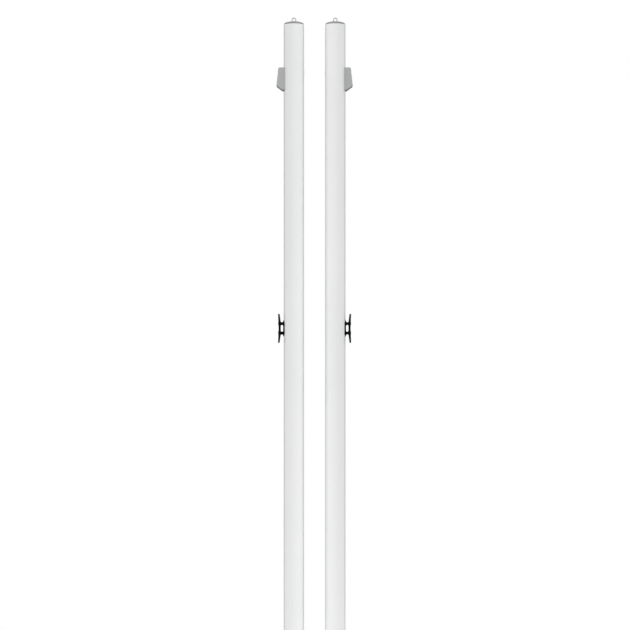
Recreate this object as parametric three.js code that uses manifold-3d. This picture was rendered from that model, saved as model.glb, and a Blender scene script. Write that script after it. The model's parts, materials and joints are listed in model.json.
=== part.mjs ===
// A pair of badminton net posts, standing side by side as they are stored. Each is a white steel tube for a
// floor sleeve, with a domed cap and an eye bolt on top, a hooded pulley on its outer side and a horn cleat
// at the height of the net's lower edge. The two posts are alike, and one is turned half a turn.
// Millimetres, +Z up. X runs along the net line, and the origin is on the ground between the two feet.
// A post's own frame has its tube's axis as Z, and +X is the outer side, which faces away from the net.

import * as THREE from "three";
import { mergeVertices } from "three/addons/utils/BufferGeometryUtils.js";
import Module from "manifold-3d";

const wasm = await Module();
wasm.setup();

// Court and stance
const NET_CORD_HEIGHT = 1550; // the eye's centre above the floor, where the net's top edge is held
const NET_DEPTH = 760; // from the net's top edge to its lower edge, where the cleat sits
const SLEEVE_DEPTH = 280; // how far the foot goes down into the floor sleeve
const POST_SPACING = 102; // between the axes of the two tubes
const EYE_TURN = { left: 0, right: 20 }; // degrees each eye bolt stopped short of square when tightened

// Fits
const SEAT_GAP = 0.2; // between pieces that are pressed, screwed or riveted together
const RUNNING_GAP = 0.12; // radial room of the sheave on its axle
const OVERRUN = 3; // how far a cutter runs past the face that it cuts

// Tube
const TUBE_DIAMETER = 50;
const TUBE_WALL = 2;
const TUBE_LIP_ROUND = 1.2;
const TUBE_FOOT_CHAMFER = 0.6;

// Plugs at the two ends: the cap on top and the plug at the foot
const SPIGOT_EASE = 0.8; // radial room between a spigot's skin and the tube, which its ribs take up
const SPIGOT_RIB_WIDTH = 1.6;
const SPIGOT_CHAMFER = 1;
const SPIGOT_RIBS = 4;
const CAP_HEIGHT = 7.6;
const CAP_EDGE = 2;
const CAP_INSET = 1; // how far the cap's edge stays inside the tube's outer face
const CAP_WALL = 2.4;
const CAP_SPIGOT_DEPTH = 20;
const CAP_BOSS_DIAMETER = 13;
const CAP_BOSS_DEPTH = 6;
const CAP_RECESS_DIAMETER = 14;
const CAP_RECESS_DEPTH = 2;
const FOOT_FLANGE = 3;
const FOOT_EDGE_ROUND = 1.2;
const FOOT_WALL = 2.4;
const FOOT_SPIGOT_DEPTH = 24;

// Eye bolt with its washer and nut
const EYE_DIAMETER = 12.5;
const EYE_WIRE = 3;
const EYE_COLLAR_DIAMETER = 7;
const EYE_COLLAR_HEIGHT = 1.2;
const EYE_SHANK_DIAMETER = 5;
const EYE_SHANK_SPARE = 2.5; // thread that shows past the nut
const THREAD_CHAMFER = 0.4; // at the end of every shank
const EYE_WASHER_DIAMETER = 11;
const EYE_WASHER_THICKNESS = 1;
const EYE_NUT_FLATS = 8;
const EYE_NUT_HEIGHT = 4;

// Sheave and axle
const CORD_DIAMETER = 4; // the cord that the pulley is made for
const SHEAVE_DIAMETER = 32;
const GROOVE_DIAMETER = 24;
const SHEAVE_WIDTH = 9;
const SHEAVE_EDGE = 0.6;
const SHEAVE_WEB = 4;
const SHEAVE_RIM = 2.2; // under the groove
const SHEAVE_HUB_DIAMETER = 10;
const SHEAVE_HOLES = 5;
const SHEAVE_HOLE_DIAMETER = 3.6;
const SHEAVE_SIDE_ROOM = 0.5;
const CORD_STANDOFF = 6.5; // from the tube to the foot of the groove, where the cord runs down
const AXLE_DIAMETER = 5;
const AXLE_HEAD_DIAMETER = 8;
const AXLE_HEAD_HEIGHT = 1.5;
const AXLE_TAIL = 1.3; // past the clip
const CLIP_DIAMETER = 8.4;
const CLIP_THICKNESS = 0.8;
const CLIP_GROOVE_DEPTH = 0.6;
const CLIP_MOUTH = 3;

// Hood
const HOOD_DROP = 106; // its top below the tube's top
const HOOD_WALL = 2;
const HOOD_LEAN = 6.3; // degrees that the cover leans out on the way down
const HOOD_BLOCK = 10; // the solid block at the top, which takes the upper screw
const HOOD_TAB_HEIGHT = 11.5;
const HOOD_TAB_THICKNESS = 3.2;
const HOOD_MOUTH_RISE = 11; // how far the slanted mouth climbs to the cover's lower edge
const HOOD_EDGE_ROUND = 2;
const HOOD_CORNER_ROUND = 3.4;
const HOOD_LIP_ROUND = 2.6;
const HOOD_LAND = 3; // how far the hood reaches past the slot on each side
const HOOD_CHEEK = 2;
const HOOD_NOSE_DIAMETER = 13; // of each cheek round the axle
const NOSE_ROUND_SHARE = 0.9;
const SHEAVE_HEADROOM = 1.5;
const SHEAVE_TO_COVER = 3.5;
const SLOT_SIDE_ROOM = 0.7;
const SLOT_END_ROOM = 0.6;
const SLOT_CORNER = 4;

// Cord inlet
const INLET_BORE = 8;
const INLET_WALL = 1.3;
const INLET_FLANGE = 1.8; // past the sleeve, all round
const INLET_FLANGE_THICKNESS = 0.5;
const INLET_MOUTH_ROUND = 1;
const INLET_BARB = 0.7;
const INLET_BARB_LENGTH = 2.4;

// Screws and rivet nuts, one size for the hood and the cleat
const SCREW_DIAMETER = 4;
const SCREW_HEAD_DIAMETER = 7.6;
const SCREW_HEAD_HEIGHT = 2.2;
const SCREW_HEAD_CROWN = 0.5;
const SCREW_SINK = 0.7; // of the head below the hood's leaning cover
const SCREW_TIP = 1.2; // past the nut
const NUT_SLEEVE_WALL = 0.9;
const NUT_BULB = 1.4; // how far the squeezed bulb stands out behind the wall
const NUT_BULB_LENGTH = 2.6;
const NUT_RIM = 0.9;
const NUT_RIM_DEPTH = 0.8;
const NUT_LENGTH = 10;

// Cleat
const CLEAT_LENGTH = 72;
const CLEAT_WIDTH = 11;
const CLEAT_TIP_WIDTH = 7.4;
const CLEAT_CORD_ROOM = 7.4; // between the tube and the bar
const CLEAT_BAR = 5.2;
const CLEAT_TIP = 3.9;
const CLEAT_TIP_LIFT = 1.5; // how far the tips stand out past the middle of the bar
const CLEAT_LEG_SPACING = 23.4;
const CLEAT_LEG = 6.8;
const CLEAT_PAD_LENGTH = 39.5;
const CLEAT_PAD_WIDTH = 22;
const CLEAT_PAD_THICKNESS = 1.3;
const CLEAT_PAD_ROUND = 8;
const CLEAT_EDGE_ROUND = 1.5;
const CLEAT_NECK_ROUND = 2.8;
const CLEAT_BOSS_DIAMETER = 9.6;
const CLEAT_BOSS_RISE = 1.1;
const TIP_ROUND_SHARE = 0.47; // of a tip's thickness or width

// Facets
const TUBE_SIDES = 36;
const PLUG_SIDES = 24;
const SHEAVE_SIDES = 18;
const SMALL_SIDES = 12;
const HIDDEN_SIDES = 8; // on small round shapes inside the tube
const RING_STEPS = 18;
const WIRE_SIDES = 8;
const ARC_STEPS = 3;
const EDGE_STEPS = 2; // on a rounded rim
const DOME_STEPS = 4;
const GROOVE_STEPS = 4;

// Sizes that follow from the ones above
const tubeRadius = TUBE_DIAMETER / 2;
const boreRadius = tubeRadius - TUBE_WALL;
const eyeCentreZ = SLEEVE_DEPTH + NET_CORD_HEIGHT;
const capSeatZ = eyeCentreZ - EYE_DIAMETER / 2 - SEAT_GAP + CAP_RECESS_DEPTH - CAP_HEIGHT;
const tubeTopZ = capSeatZ - SEAT_GAP;
const tubeFootZ = FOOT_FLANGE + SEAT_GAP;
const cleatZ = eyeCentreZ - NET_DEPTH;
const cleatScrewZ = CLEAT_LEG_SPACING / 2;

const sheaveRadius = SHEAVE_DIAMETER / 2;
const axleRadius = AXLE_DIAMETER / 2;
const axleX = tubeRadius + CORD_STANDOFF - GROOVE_DIAMETER / 2;
const cheekInner = SHEAVE_WIDTH / 2 + SHEAVE_SIDE_ROOM;
const cheekOuter = cheekInner + HOOD_CHEEK;
const clipY = cheekOuter + SEAT_GAP;
const axleTailY = clipY + CLIP_THICKNESS + AXLE_TAIL;
const slotWidth = 2 * (axleTailY + SLOT_SIDE_ROOM);
const slotHeight = SHEAVE_DIAMETER + 2 * SLOT_END_ROOM;
const hoodWidth = slotWidth + 2 * HOOD_LAND;

// Heights on the hood, from the axle
const hoodTop = sheaveRadius + SHEAVE_HEADROOM + HOOD_BLOCK;
const hoodTabTop = -(sheaveRadius + SHEAVE_HEADROOM);
const hoodBottom = hoodTabTop - HOOD_TAB_HEIGHT;
const hoodLip = hoodBottom + HOOD_MOUTH_RISE;
const hoodUpperScrewZ = hoodTop - HOOD_BLOCK / 2;
const hoodLowerScrewZ = hoodTabTop - HOOD_TAB_HEIGHT / 2;
const inletZ = GROOVE_DIAMETER / 2 + CORD_DIAMETER / 2;
const axleZ = tubeTopZ - HOOD_DROP - hoodTop;

const screwRadius = SCREW_DIAMETER / 2;
const screwHeadRadius = SCREW_HEAD_DIAMETER / 2;
const nutBoreRadius = screwRadius + SEAT_GAP;
const nutSleeveRadius = nutBoreRadius + NUT_SLEEVE_WALL;
const cleatFace = tubeRadius + CLEAT_CORD_ROOM + CLEAT_BAR;
const cleatScrewHead = cleatFace + CLEAT_BOSS_RISE - SCREW_HEAD_CROWN / 2;
const hoodTabFace = tubeRadius + HOOD_TAB_THICKNESS;

// How far the outside of the hood's cover is from the tube's axis, at a height from the axle.
function coverReach(z) {
  const atAxle = axleX + sheaveRadius + SHEAVE_TO_COVER + HOOD_WALL;
  return atAxle - z * Math.tan(THREE.MathUtils.degToRad(HOOD_LEAN));
}

const hoodUpperScrewHead = coverReach(hoodUpperScrewZ) - SCREW_SINK;
const hoodLowerScrewHead = hoodTabFace - SCREW_HEAD_CROWN;

// Solids and outlines

// A closed geometry as a solid that can be joined and cut.
function solidOf(geometry) {
  const bare = new THREE.BufferGeometry();
  bare.setAttribute("position", geometry.getAttribute("position"));
  bare.setIndex(geometry.index);
  const merged = mergeVertices(bare);
  const triVerts = [];
  for (let i = 0; i < merged.index.count; i += 3) {
    const face = [0, 1, 2].map((k) => merged.index.getX(i + k));
    if (new Set(face).size === 3) triVerts.push(...face);
  }
  return new wasm.Manifold(
    new wasm.Mesh({
      numProp: 3,
      vertProperties: merged.attributes.position.array,
      triVerts: new Uint32Array(triVerts),
    }),
  );
}

function join(...solids) {
  return solids.reduce((whole, piece) => whole.add(piece));
}

function cut(solid, ...cutters) {
  return cutters.reduce((rest, cutter) => rest.subtract(cutter), solid);
}

// A solid as a geometry with a flat normal on each face.
function geometryOf(solid) {
  const mesh = solid.getMesh();
  const geometry = new THREE.BufferGeometry();
  geometry.setAttribute("position", new THREE.BufferAttribute(mesh.vertProperties, mesh.numProp));
  geometry.setIndex(new THREE.BufferAttribute(mesh.triVerts, 1));
  const faceted = geometry.toNonIndexed();
  faceted.computeVertexNormals();
  return faceted;
}

// Points on an arc, angles in degrees.
function arc(x, y, radius, start, end, steps = ARC_STEPS) {
  return Array.from({ length: steps + 1 }, (_, i) => {
    const angle = THREE.MathUtils.degToRad(start + ((end - start) * i) / steps);
    return [x + radius * Math.cos(angle), y + radius * Math.sin(angle)];
  });
}

// A closed outline whose corners are [x, y, radius]; a corner without a radius stays sharp.
function outline(corners, Kind = THREE.Shape) {
  const points = corners.flatMap(([x, y, radius = 0], i) => {
    const here = new THREE.Vector2(x, y);
    if (radius === 0) return [here];
    const [beforeX, beforeY] = corners.at(i - 1);
    const [afterX, afterY] = corners[(i + 1) % corners.length];
    const back = new THREE.Vector2(beforeX, beforeY).sub(here).normalize();
    const ahead = new THREE.Vector2(afterX, afterY).sub(here).normalize();
    const half = back.angleTo(ahead) / 2;
    const inwards = back.clone().add(ahead).normalize();
    const centre = here.clone().addScaledVector(inwards, radius / Math.sin(half));
    const middle = THREE.MathUtils.radToDeg(inwards.negate().angle());
    const swing = (90 - THREE.MathUtils.radToDeg(half)) * Math.sign(ahead.cross(back));
    return arc(centre.x, centre.y, radius, middle - swing, middle + swing).map(
      ([arcX, arcY]) => new THREE.Vector2(arcX, arcY),
    );
  });
  return new Kind(points);
}

// A rectangle about (0, y) with one radius on its corners.
function roundedRectangle(width, height, radius, y = 0) {
  const x = width / 2;
  const low = y - height / 2;
  const high = y + height / 2;
  return outline([
    [x, low, radius],
    [x, high, radius],
    [-x, high, radius],
    [-x, low, radius],
  ]);
}

// A closed profile of [radius, height] points, turned about Z. It runs up its outer side.
function turned(profile, sides) {
  const points = profile.map(([radius, height]) => new THREE.Vector2(radius, height));
  const closed = profile[0][0] === 0 ? points : [...points, points[0].clone()];
  return new THREE.LatheGeometry(closed, sides).rotateX(Math.PI / 2);
}

// The same, with the profile's heights along X or along Y.
function turnedAlongX(profile, sides) {
  return turned(profile, sides).rotateY(Math.PI / 2);
}

function turnedAlongY(profile, sides) {
  return turned(profile, sides).rotateX(-Math.PI / 2);
}

// A round rod about X, from one place on X to another.
function rodAlongX(radius, from, to, sides) {
  return turnedAlongX([[0, from], [radius, from], [radius, to], [0, to]], sides);
}

function rodAlongY(radius, from, to, sides) {
  return turnedAlongY([[0, from], [radius, from], [radius, to], [0, to]], sides);
}

// An outline in the X-Z plane, drawn out along Y from one place to another. A round softens its two rims.
function plate(shape, from, to, round = 0) {
  const settings = {
    depth: to - from - 2 * round,
    bevelEnabled: round > 0,
    bevelThickness: round,
    bevelSize: round,
    bevelOffset: -round,
    bevelSegments: EDGE_STEPS,
    curveSegments: ARC_STEPS,
  };
  return new THREE.ExtrudeGeometry(shape, settings).rotateX(Math.PI / 2).translate(0, to - round, 0);
}

// An outline in the Y-Z plane, drawn out along X.
function prismAlongX(shape, from, to, curveSegments = ARC_STEPS) {
  const settings = { depth: to - from, bevelEnabled: false, curveSegments };
  return new THREE.ExtrudeGeometry(shape, settings)
    .rotateX(Math.PI / 2)
    .rotateZ(Math.PI / 2)
    .translate(from, 0, 0);
}

// The space of the tube, a little enlarged, to shape what sits on it.
function tubeSpace(radius, reach) {
  const profile = [[0, -reach], [radius, -reach], [radius, reach], [0, reach]];
  return solidOf(turned(profile, TUBE_SIDES));
}

// A pad that hugs the tube's outer side, with the given outline in the Y-Z plane.
function saddlePad(shape, thickness, reach) {
  const seat = tubeRadius + SEAT_GAP;
  const skin = cut(tubeSpace(seat + thickness, reach), tubeSpace(seat, reach + OVERRUN));
  return skin.intersect(solidOf(prismAlongX(shape, 0, tubeRadius + OVERRUN, 2 * ARC_STEPS)));
}

// Tube

// The hole for a rivet nut, with a countersink for its rim.
function nutHole(z) {
  const radius = nutSleeveRadius + SEAT_GAP;
  const rimRadius = radius + NUT_RIM;
  const profile = [
    [0, 0],
    [radius, 0],
    [radius, tubeRadius - NUT_RIM_DEPTH - SEAT_GAP],
    [rimRadius, tubeRadius],
    [rimRadius, tubeRadius + OVERRUN],
    [0, tubeRadius + OVERRUN],
  ];
  return solidOf(turnedAlongX(profile, SMALL_SIDES).translate(0, 0, z));
}

function tube() {
  const length = tubeTopZ - tubeFootZ;
  const body = turned(
    [
      [boreRadius, 0],
      [tubeRadius - TUBE_FOOT_CHAMFER, 0],
      [tubeRadius, TUBE_FOOT_CHAMFER],
      ...arc(tubeRadius - TUBE_LIP_ROUND, length - TUBE_LIP_ROUND, TUBE_LIP_ROUND, 0, 90, EDGE_STEPS),
      [boreRadius, length],
    ],
    TUBE_SIDES,
  );
  const axle = axleZ - tubeFootZ;
  const cleat = cleatZ - tubeFootZ;
  const slotOutline = roundedRectangle(slotWidth, slotHeight, SLOT_CORNER, axle);
  const slot = solidOf(prismAlongX(slotOutline, 0, tubeRadius + OVERRUN));
  const inletRadius = INLET_BORE / 2 + INLET_WALL + SEAT_GAP;
  const inletHole = rodAlongX(inletRadius, -tubeRadius - OVERRUN, 0, SMALL_SIDES);
  return cut(
    solidOf(body),
    slot,
    solidOf(inletHole.translate(0, 0, axle + inletZ)),
    nutHole(axle + hoodUpperScrewZ),
    nutHole(axle + hoodLowerScrewZ),
    nutHole(cleat + cleatScrewZ),
    nutHole(cleat - cleatScrewZ),
  );
}

// End plugs

// Ribs that stand out from a spigot to the tube's bore, between two heights.
function spigotRibs(spigotRadius, low, high) {
  const reach = boreRadius - SEAT_GAP;
  const root = spigotRadius - SPIGOT_EASE;
  const rib = new THREE.BoxGeometry(reach - root, SPIGOT_RIB_WIDTH, high - low);
  rib.translate((reach + root) / 2, 0, (high + low) / 2);
  const turns = Array.from({ length: SPIGOT_RIBS }, (_, i) => (2 * Math.PI * i) / SPIGOT_RIBS);
  return turns.map((turn) => solidOf(rib.clone().rotateZ(turn)));
}

// Domed cap, from the underside of its edge, with a recess on top that seats the eye.
function topCap() {
  const edgeRadius = tubeRadius - CAP_INSET;
  const spigotRadius = boreRadius - SPIGOT_EASE;
  const holeRadius = EYE_SHANK_DIAMETER / 2 + SEAT_GAP;
  const recessRadius = CAP_RECESS_DIAMETER / 2;
  const domeRise = CAP_HEIGHT - CAP_EDGE;
  const ceiling = CAP_EDGE / 2;
  const domeEnd = THREE.MathUtils.radToDeg(Math.acos(recessRadius / edgeRadius));
  const dome = arc(0, 0, 1, 0, domeEnd, DOME_STEPS).map(([across, up]) => [
    edgeRadius * across,
    CAP_EDGE + domeRise * up,
  ]);
  const profile = [
    [holeRadius, -CAP_BOSS_DEPTH],
    [CAP_BOSS_DIAMETER / 2, -CAP_BOSS_DEPTH],
    [CAP_BOSS_DIAMETER / 2, ceiling],
    [spigotRadius - CAP_WALL, ceiling],
    [spigotRadius - CAP_WALL, -CAP_SPIGOT_DEPTH],
    [spigotRadius - SPIGOT_CHAMFER, -CAP_SPIGOT_DEPTH],
    [spigotRadius, SPIGOT_CHAMFER - CAP_SPIGOT_DEPTH],
    [spigotRadius, 0],
    [edgeRadius, 0],
    ...dome,
    [recessRadius, CAP_HEIGHT - CAP_RECESS_DEPTH],
    [holeRadius, CAP_HEIGHT - CAP_RECESS_DEPTH],
  ];
  const ribs = spigotRibs(spigotRadius, 2 * SPIGOT_CHAMFER - CAP_SPIGOT_DEPTH, -SPIGOT_CHAMFER);
  return join(solidOf(turned(profile, PLUG_SIDES)), ...ribs);
}

// Plug for the lower end, from the ground up.
function footPlug() {
  const edgeRadius = tubeRadius - SEAT_GAP;
  const spigotRadius = boreRadius - SPIGOT_EASE;
  const top = tubeFootZ + FOOT_SPIGOT_DEPTH;
  const profile = [
    [0, 0],
    ...arc(edgeRadius - FOOT_EDGE_ROUND, FOOT_EDGE_ROUND, FOOT_EDGE_ROUND, -90, 0, EDGE_STEPS),
    [edgeRadius, FOOT_FLANGE],
    [spigotRadius, FOOT_FLANGE],
    [spigotRadius, top - SPIGOT_CHAMFER],
    [spigotRadius - SPIGOT_CHAMFER, top],
    [spigotRadius - FOOT_WALL, top],
    [spigotRadius - FOOT_WALL, FOOT_FLANGE],
    [0, FOOT_FLANGE],
  ];
  const ribs = spigotRibs(spigotRadius, tubeFootZ + SPIGOT_CHAMFER, top - 2 * SPIGOT_CHAMFER);
  return join(solidOf(turned(profile, PLUG_SIDES)), ...ribs);
}

// Eye bolt and what holds it, from the eye's centre

const capBossZ = capSeatZ - CAP_BOSS_DEPTH - eyeCentreZ;
const eyeWasherZ = capBossZ - SEAT_GAP - EYE_WASHER_THICKNESS;
const eyeNutZ = eyeWasherZ - SEAT_GAP - EYE_NUT_HEIGHT;

// Ring, collar and threaded shank in one piece. The hole of the ring runs along Y.
function eyeBolt() {
  const wireRadius = EYE_WIRE / 2;
  const shankRadius = EYE_SHANK_DIAMETER / 2;
  const tip = eyeNutZ - EYE_SHANK_SPARE;
  const foot = -EYE_DIAMETER / 2;
  const section = arc(EYE_DIAMETER / 2 - wireRadius, 0, wireRadius, 0, 360, WIRE_SIDES).slice(1);
  const shank = [
    [0, tip],
    [shankRadius - THREAD_CHAMFER, tip],
    [shankRadius, tip + THREAD_CHAMFER],
    [shankRadius, foot],
    [EYE_COLLAR_DIAMETER / 2, foot],
    [wireRadius, foot + EYE_COLLAR_HEIGHT],
    [0, foot + EYE_COLLAR_HEIGHT],
  ];
  return join(solidOf(turnedAlongY(section, RING_STEPS)), solidOf(turned(shank, SMALL_SIDES)));
}

function eyeWasher() {
  const bore = EYE_SHANK_DIAMETER / 2 + SEAT_GAP;
  const rim = EYE_WASHER_DIAMETER / 2;
  const profile = [[bore, 0], [rim, 0], [rim, EYE_WASHER_THICKNESS], [bore, EYE_WASHER_THICKNESS]];
  return solidOf(turned(profile, SMALL_SIDES));
}

function eyeNut() {
  const hexagon = outline(arc(0, 0, EYE_NUT_FLATS / Math.sqrt(3), 0, 360, 6).slice(1));
  const bore = new THREE.Path().absarc(0, 0, EYE_SHANK_DIAMETER / 2 + SEAT_GAP, 0, 2 * Math.PI);
  hexagon.holes.push(bore);
  const settings = { depth: EYE_NUT_HEIGHT, bevelEnabled: false, curveSegments: SMALL_SIDES };
  return solidOf(new THREE.ExtrudeGeometry(hexagon, settings));
}

// Screws and rivet nuts, along X, for a head that lies at a place on X

// Clearance hole with a countersink that opens outwards.
function screwHole(head, z) {
  const radius = screwRadius + SEAT_GAP;
  const headRadius = screwHeadRadius + SEAT_GAP;
  const profile = [
    [0, boreRadius],
    [radius, boreRadius],
    [radius, head - SCREW_HEAD_HEIGHT - SEAT_GAP],
    [headRadius, head],
    [headRadius, head + OVERRUN],
    [0, head + OVERRUN],
  ];
  return solidOf(turnedAlongX(profile, SMALL_SIDES).translate(0, 0, z));
}

function screw(head) {
  const tip = tubeRadius - NUT_LENGTH - SCREW_TIP;
  const profile = [
    [0, tip],
    [screwRadius - THREAD_CHAMFER, tip],
    [screwRadius, tip + THREAD_CHAMFER],
    [screwRadius, head - SCREW_HEAD_HEIGHT],
    [screwHeadRadius, head],
    [screwHeadRadius / 2, head + SCREW_HEAD_CROWN],
    [0, head + SCREW_HEAD_CROWN],
  ];
  return solidOf(turnedAlongX(profile, SMALL_SIDES));
}

// Blind rivet nut: a sleeve through the wall, with a flush rim outside and a squeezed bulb behind the wall.
function rivetNut() {
  const rim = tubeRadius - SEAT_GAP;
  const bulb = boreRadius - SEAT_GAP;
  const profile = [
    [nutBoreRadius, tubeRadius - NUT_LENGTH],
    [nutSleeveRadius, tubeRadius - NUT_LENGTH],
    [nutSleeveRadius, bulb - NUT_BULB_LENGTH],
    [nutSleeveRadius + NUT_BULB, bulb - NUT_BULB_LENGTH / 2],
    [nutSleeveRadius, bulb],
    [nutSleeveRadius, rim - NUT_RIM_DEPTH],
    [nutSleeveRadius + NUT_RIM - SEAT_GAP, rim],
    [nutBoreRadius, rim],
  ];
  return solidOf(turnedAlongX(profile, HIDDEN_SIDES));
}

// Pulley, from the axle's height

// One moulding: a leaning cover with rounded edges, closed on top and open below, that sits on the tube over
// the slot. Two cheeks inside it reach through the slot and carry the axle, with a hollow on each side.
function hood() {
  const seat = tubeSpace(tubeRadius + SEAT_GAP, hoodTop + OVERRUN);
  const deep = axleX;
  const shape = outline([
    [deep, hoodBottom],
    [hoodTabFace, hoodBottom],
    [coverReach(hoodLip), hoodLip, HOOD_LIP_ROUND],
    [coverReach(hoodTop), hoodTop, HOOD_CORNER_ROUND],
    [deep, hoodTop],
  ]);
  const block = solidOf(plate(shape, -hoodWidth / 2, hoodWidth / 2, HOOD_EDGE_ROUND));

  // The hollows run out through the mouth, below the bottom.
  const out = hoodBottom - OVERRUN;
  const insideAt = (z) => coverReach(z) - HOOD_WALL;
  const hollowTop = hoodTop - HOOD_WALL;
  const hollow = outline([
    [deep, out],
    [insideAt(out), out],
    [insideAt(hollowTop), hollowTop, HOOD_WALL],
    [deep, hollowTop],
  ]);
  const hollowEdge = hoodWidth / 2 - HOOD_WALL;
  const laneTop = hoodTop - HOOD_BLOCK;
  const lane = outline([
    [deep, hoodTabTop],
    [hoodTabFace, hoodTabTop],
    [hoodTabFace, out],
    [insideAt(out), out],
    [insideAt(laneTop), laneTop, HOOD_WALL],
    [deep, laneTop],
  ]);
  const shell = cut(
    block,
    seat,
    solidOf(plate(hollow, cheekOuter, hollowEdge)),
    solidOf(plate(hollow, -hollowEdge, -cheekOuter)),
    solidOf(plate(lane, -cheekInner, cheekInner)),
  );

  const noseRadius = HOOD_NOSE_DIAMETER / 2;
  const root = tubeRadius + HOOD_TAB_THICKNESS;
  const rootHeight = slotHeight / 2 - SLOT_CORNER;
  const cheek = outline([
    [root, -rootHeight],
    [root, rootHeight],
    [axleX - noseRadius, noseRadius, noseRadius * NOSE_ROUND_SHARE],
    [axleX - noseRadius, -noseRadius, noseRadius * NOSE_ROUND_SHARE],
  ]);
  const axleHole = rodAlongY(axleRadius + SEAT_GAP, -cheekOuter - OVERRUN, cheekOuter + OVERRUN, SMALL_SIDES);
  return cut(
    join(
      shell,
      solidOf(plate(cheek, cheekInner, cheekOuter)),
      solidOf(plate(cheek, -cheekOuter, -cheekInner)),
    ),
    solidOf(axleHole.translate(axleX, 0, 0)),
    screwHole(hoodUpperScrewHead, hoodUpperScrewZ),
    screwHole(hoodLowerScrewHead, hoodLowerScrewZ),
  );
}

// Grooved wheel on Y, with a thinner web that has round holes between hub and rim.
function sheave() {
  const bore = axleRadius + RUNNING_GAP;
  const side = SHEAVE_WIDTH / 2;
  const hub = SHEAVE_HUB_DIAMETER / 2;
  const grooveRadius = GROOVE_DIAMETER / 2;
  const rim = grooveRadius - SHEAVE_RIM;
  const grooveSide = side - 2 * SHEAVE_EDGE;
  const groove = arc(0, 0, 1, -90, 90, GROOVE_STEPS).map(([depth, across]) => [
    sheaveRadius - (sheaveRadius - grooveRadius) * depth,
    grooveSide * across,
  ]);
  const profile = [
    [bore, -side],
    [hub, -side],
    [hub, -SHEAVE_WEB / 2],
    [rim, -SHEAVE_WEB / 2],
    [rim, -side],
    [sheaveRadius - SHEAVE_EDGE, -side],
    [sheaveRadius, SHEAVE_EDGE - side],
    ...groove,
    [sheaveRadius, side - SHEAVE_EDGE],
    [sheaveRadius - SHEAVE_EDGE, side],
    [rim, side],
    [rim, SHEAVE_WEB / 2],
    [hub, SHEAVE_WEB / 2],
    [hub, side],
    [bore, side],
  ];
  const hole = rodAlongY(SHEAVE_HOLE_DIAMETER / 2, -SHEAVE_WEB, SHEAVE_WEB, SMALL_SIDES / 2);
  hole.translate((hub + rim) / 2, 0, 0);
  const turns = Array.from({ length: SHEAVE_HOLES }, (_, i) => (2 * Math.PI * i) / SHEAVE_HOLES);
  const holes = turns.map((turn) => solidOf(hole.clone().rotateY(turn)));
  return cut(solidOf(turnedAlongY(profile, SHEAVE_SIDES)), ...holes);
}

// Pin with a head in front and a groove behind for its clip.
function axle() {
  const head = -cheekOuter - SEAT_GAP;
  const grooveRadius = axleRadius - CLIP_GROOVE_DEPTH;
  const profile = [
    [0, head - AXLE_HEAD_HEIGHT],
    [AXLE_HEAD_DIAMETER / 2, head - AXLE_HEAD_HEIGHT],
    [AXLE_HEAD_DIAMETER / 2, head],
    [axleRadius, head],
    [axleRadius, clipY - RUNNING_GAP],
    [grooveRadius, clipY - RUNNING_GAP],
    [grooveRadius, clipY + CLIP_THICKNESS + RUNNING_GAP],
    [axleRadius, clipY + CLIP_THICKNESS + RUNNING_GAP],
    [axleRadius, axleTailY - THREAD_CHAMFER],
    [axleRadius - THREAD_CHAMFER, axleTailY],
    [0, axleTailY],
  ];
  return solidOf(turnedAlongY(profile, SMALL_SIDES));
}

// Open ring that snaps into the axle's groove.
function axleClip() {
  const inner = axleRadius - CLIP_GROOVE_DEPTH + RUNNING_GAP;
  const outer = CLIP_DIAMETER / 2;
  const open = Math.asin(CLIP_MOUTH / CLIP_DIAMETER);
  const shape = new THREE.Shape();
  shape.absarc(0, 0, outer, open, 2 * Math.PI - open, false);
  shape.absarc(0, 0, inner, 2 * Math.PI - open, open, true);
  const settings = { depth: CLIP_THICKNESS, bevelEnabled: false, curveSegments: HIDDEN_SIDES };
  const clip = new THREE.ExtrudeGeometry(shape, settings).rotateX(Math.PI / 2);
  return solidOf(clip.translate(0, clipY + CLIP_THICKNESS, 0));
}

// Bush for the cord on the inner side: a saddle flange outside, a sleeve, and a barb behind the wall.
function cordInlet() {
  const bore = INLET_BORE / 2;
  const sleeve = bore + INLET_WALL;
  const barbRadius = sleeve + INLET_BARB;
  const barb = Math.sqrt(boreRadius ** 2 - barbRadius ** 2) - SEAT_GAP;
  const mouth = tubeRadius + SEAT_GAP + INLET_FLANGE_THICKNESS;
  const flangeRadius = sleeve + INLET_FLANGE;
  const flangeShape = new THREE.Shape().absarc(0, 0, flangeRadius, 0, 2 * Math.PI);
  const flange = saddlePad(flangeShape, INLET_FLANGE_THICKNESS, flangeRadius + OVERRUN);
  const profile = [
    [0, barb - INLET_BARB_LENGTH],
    [sleeve, barb - INLET_BARB_LENGTH],
    [barbRadius, barb],
    [sleeve, barb],
    [sleeve, mouth],
    [0, mouth],
  ];
  const passage = [
    [0, 0],
    [bore, 0],
    ...arc(bore + INLET_MOUTH_ROUND, mouth - INLET_MOUTH_ROUND, INLET_MOUTH_ROUND, 180, 90, EDGE_STEPS),
    [bore + INLET_MOUTH_ROUND, mouth + OVERRUN],
    [0, mouth + OVERRUN],
  ];
  const lining = solidOf(turnedAlongX(profile, SHEAVE_SIDES)).intersect(tubeSpace(mouth, flangeRadius));
  return cut(join(flange, lining), solidOf(turnedAlongX(passage, SHEAVE_SIDES)));
}

// Cleat, from its middle

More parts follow.
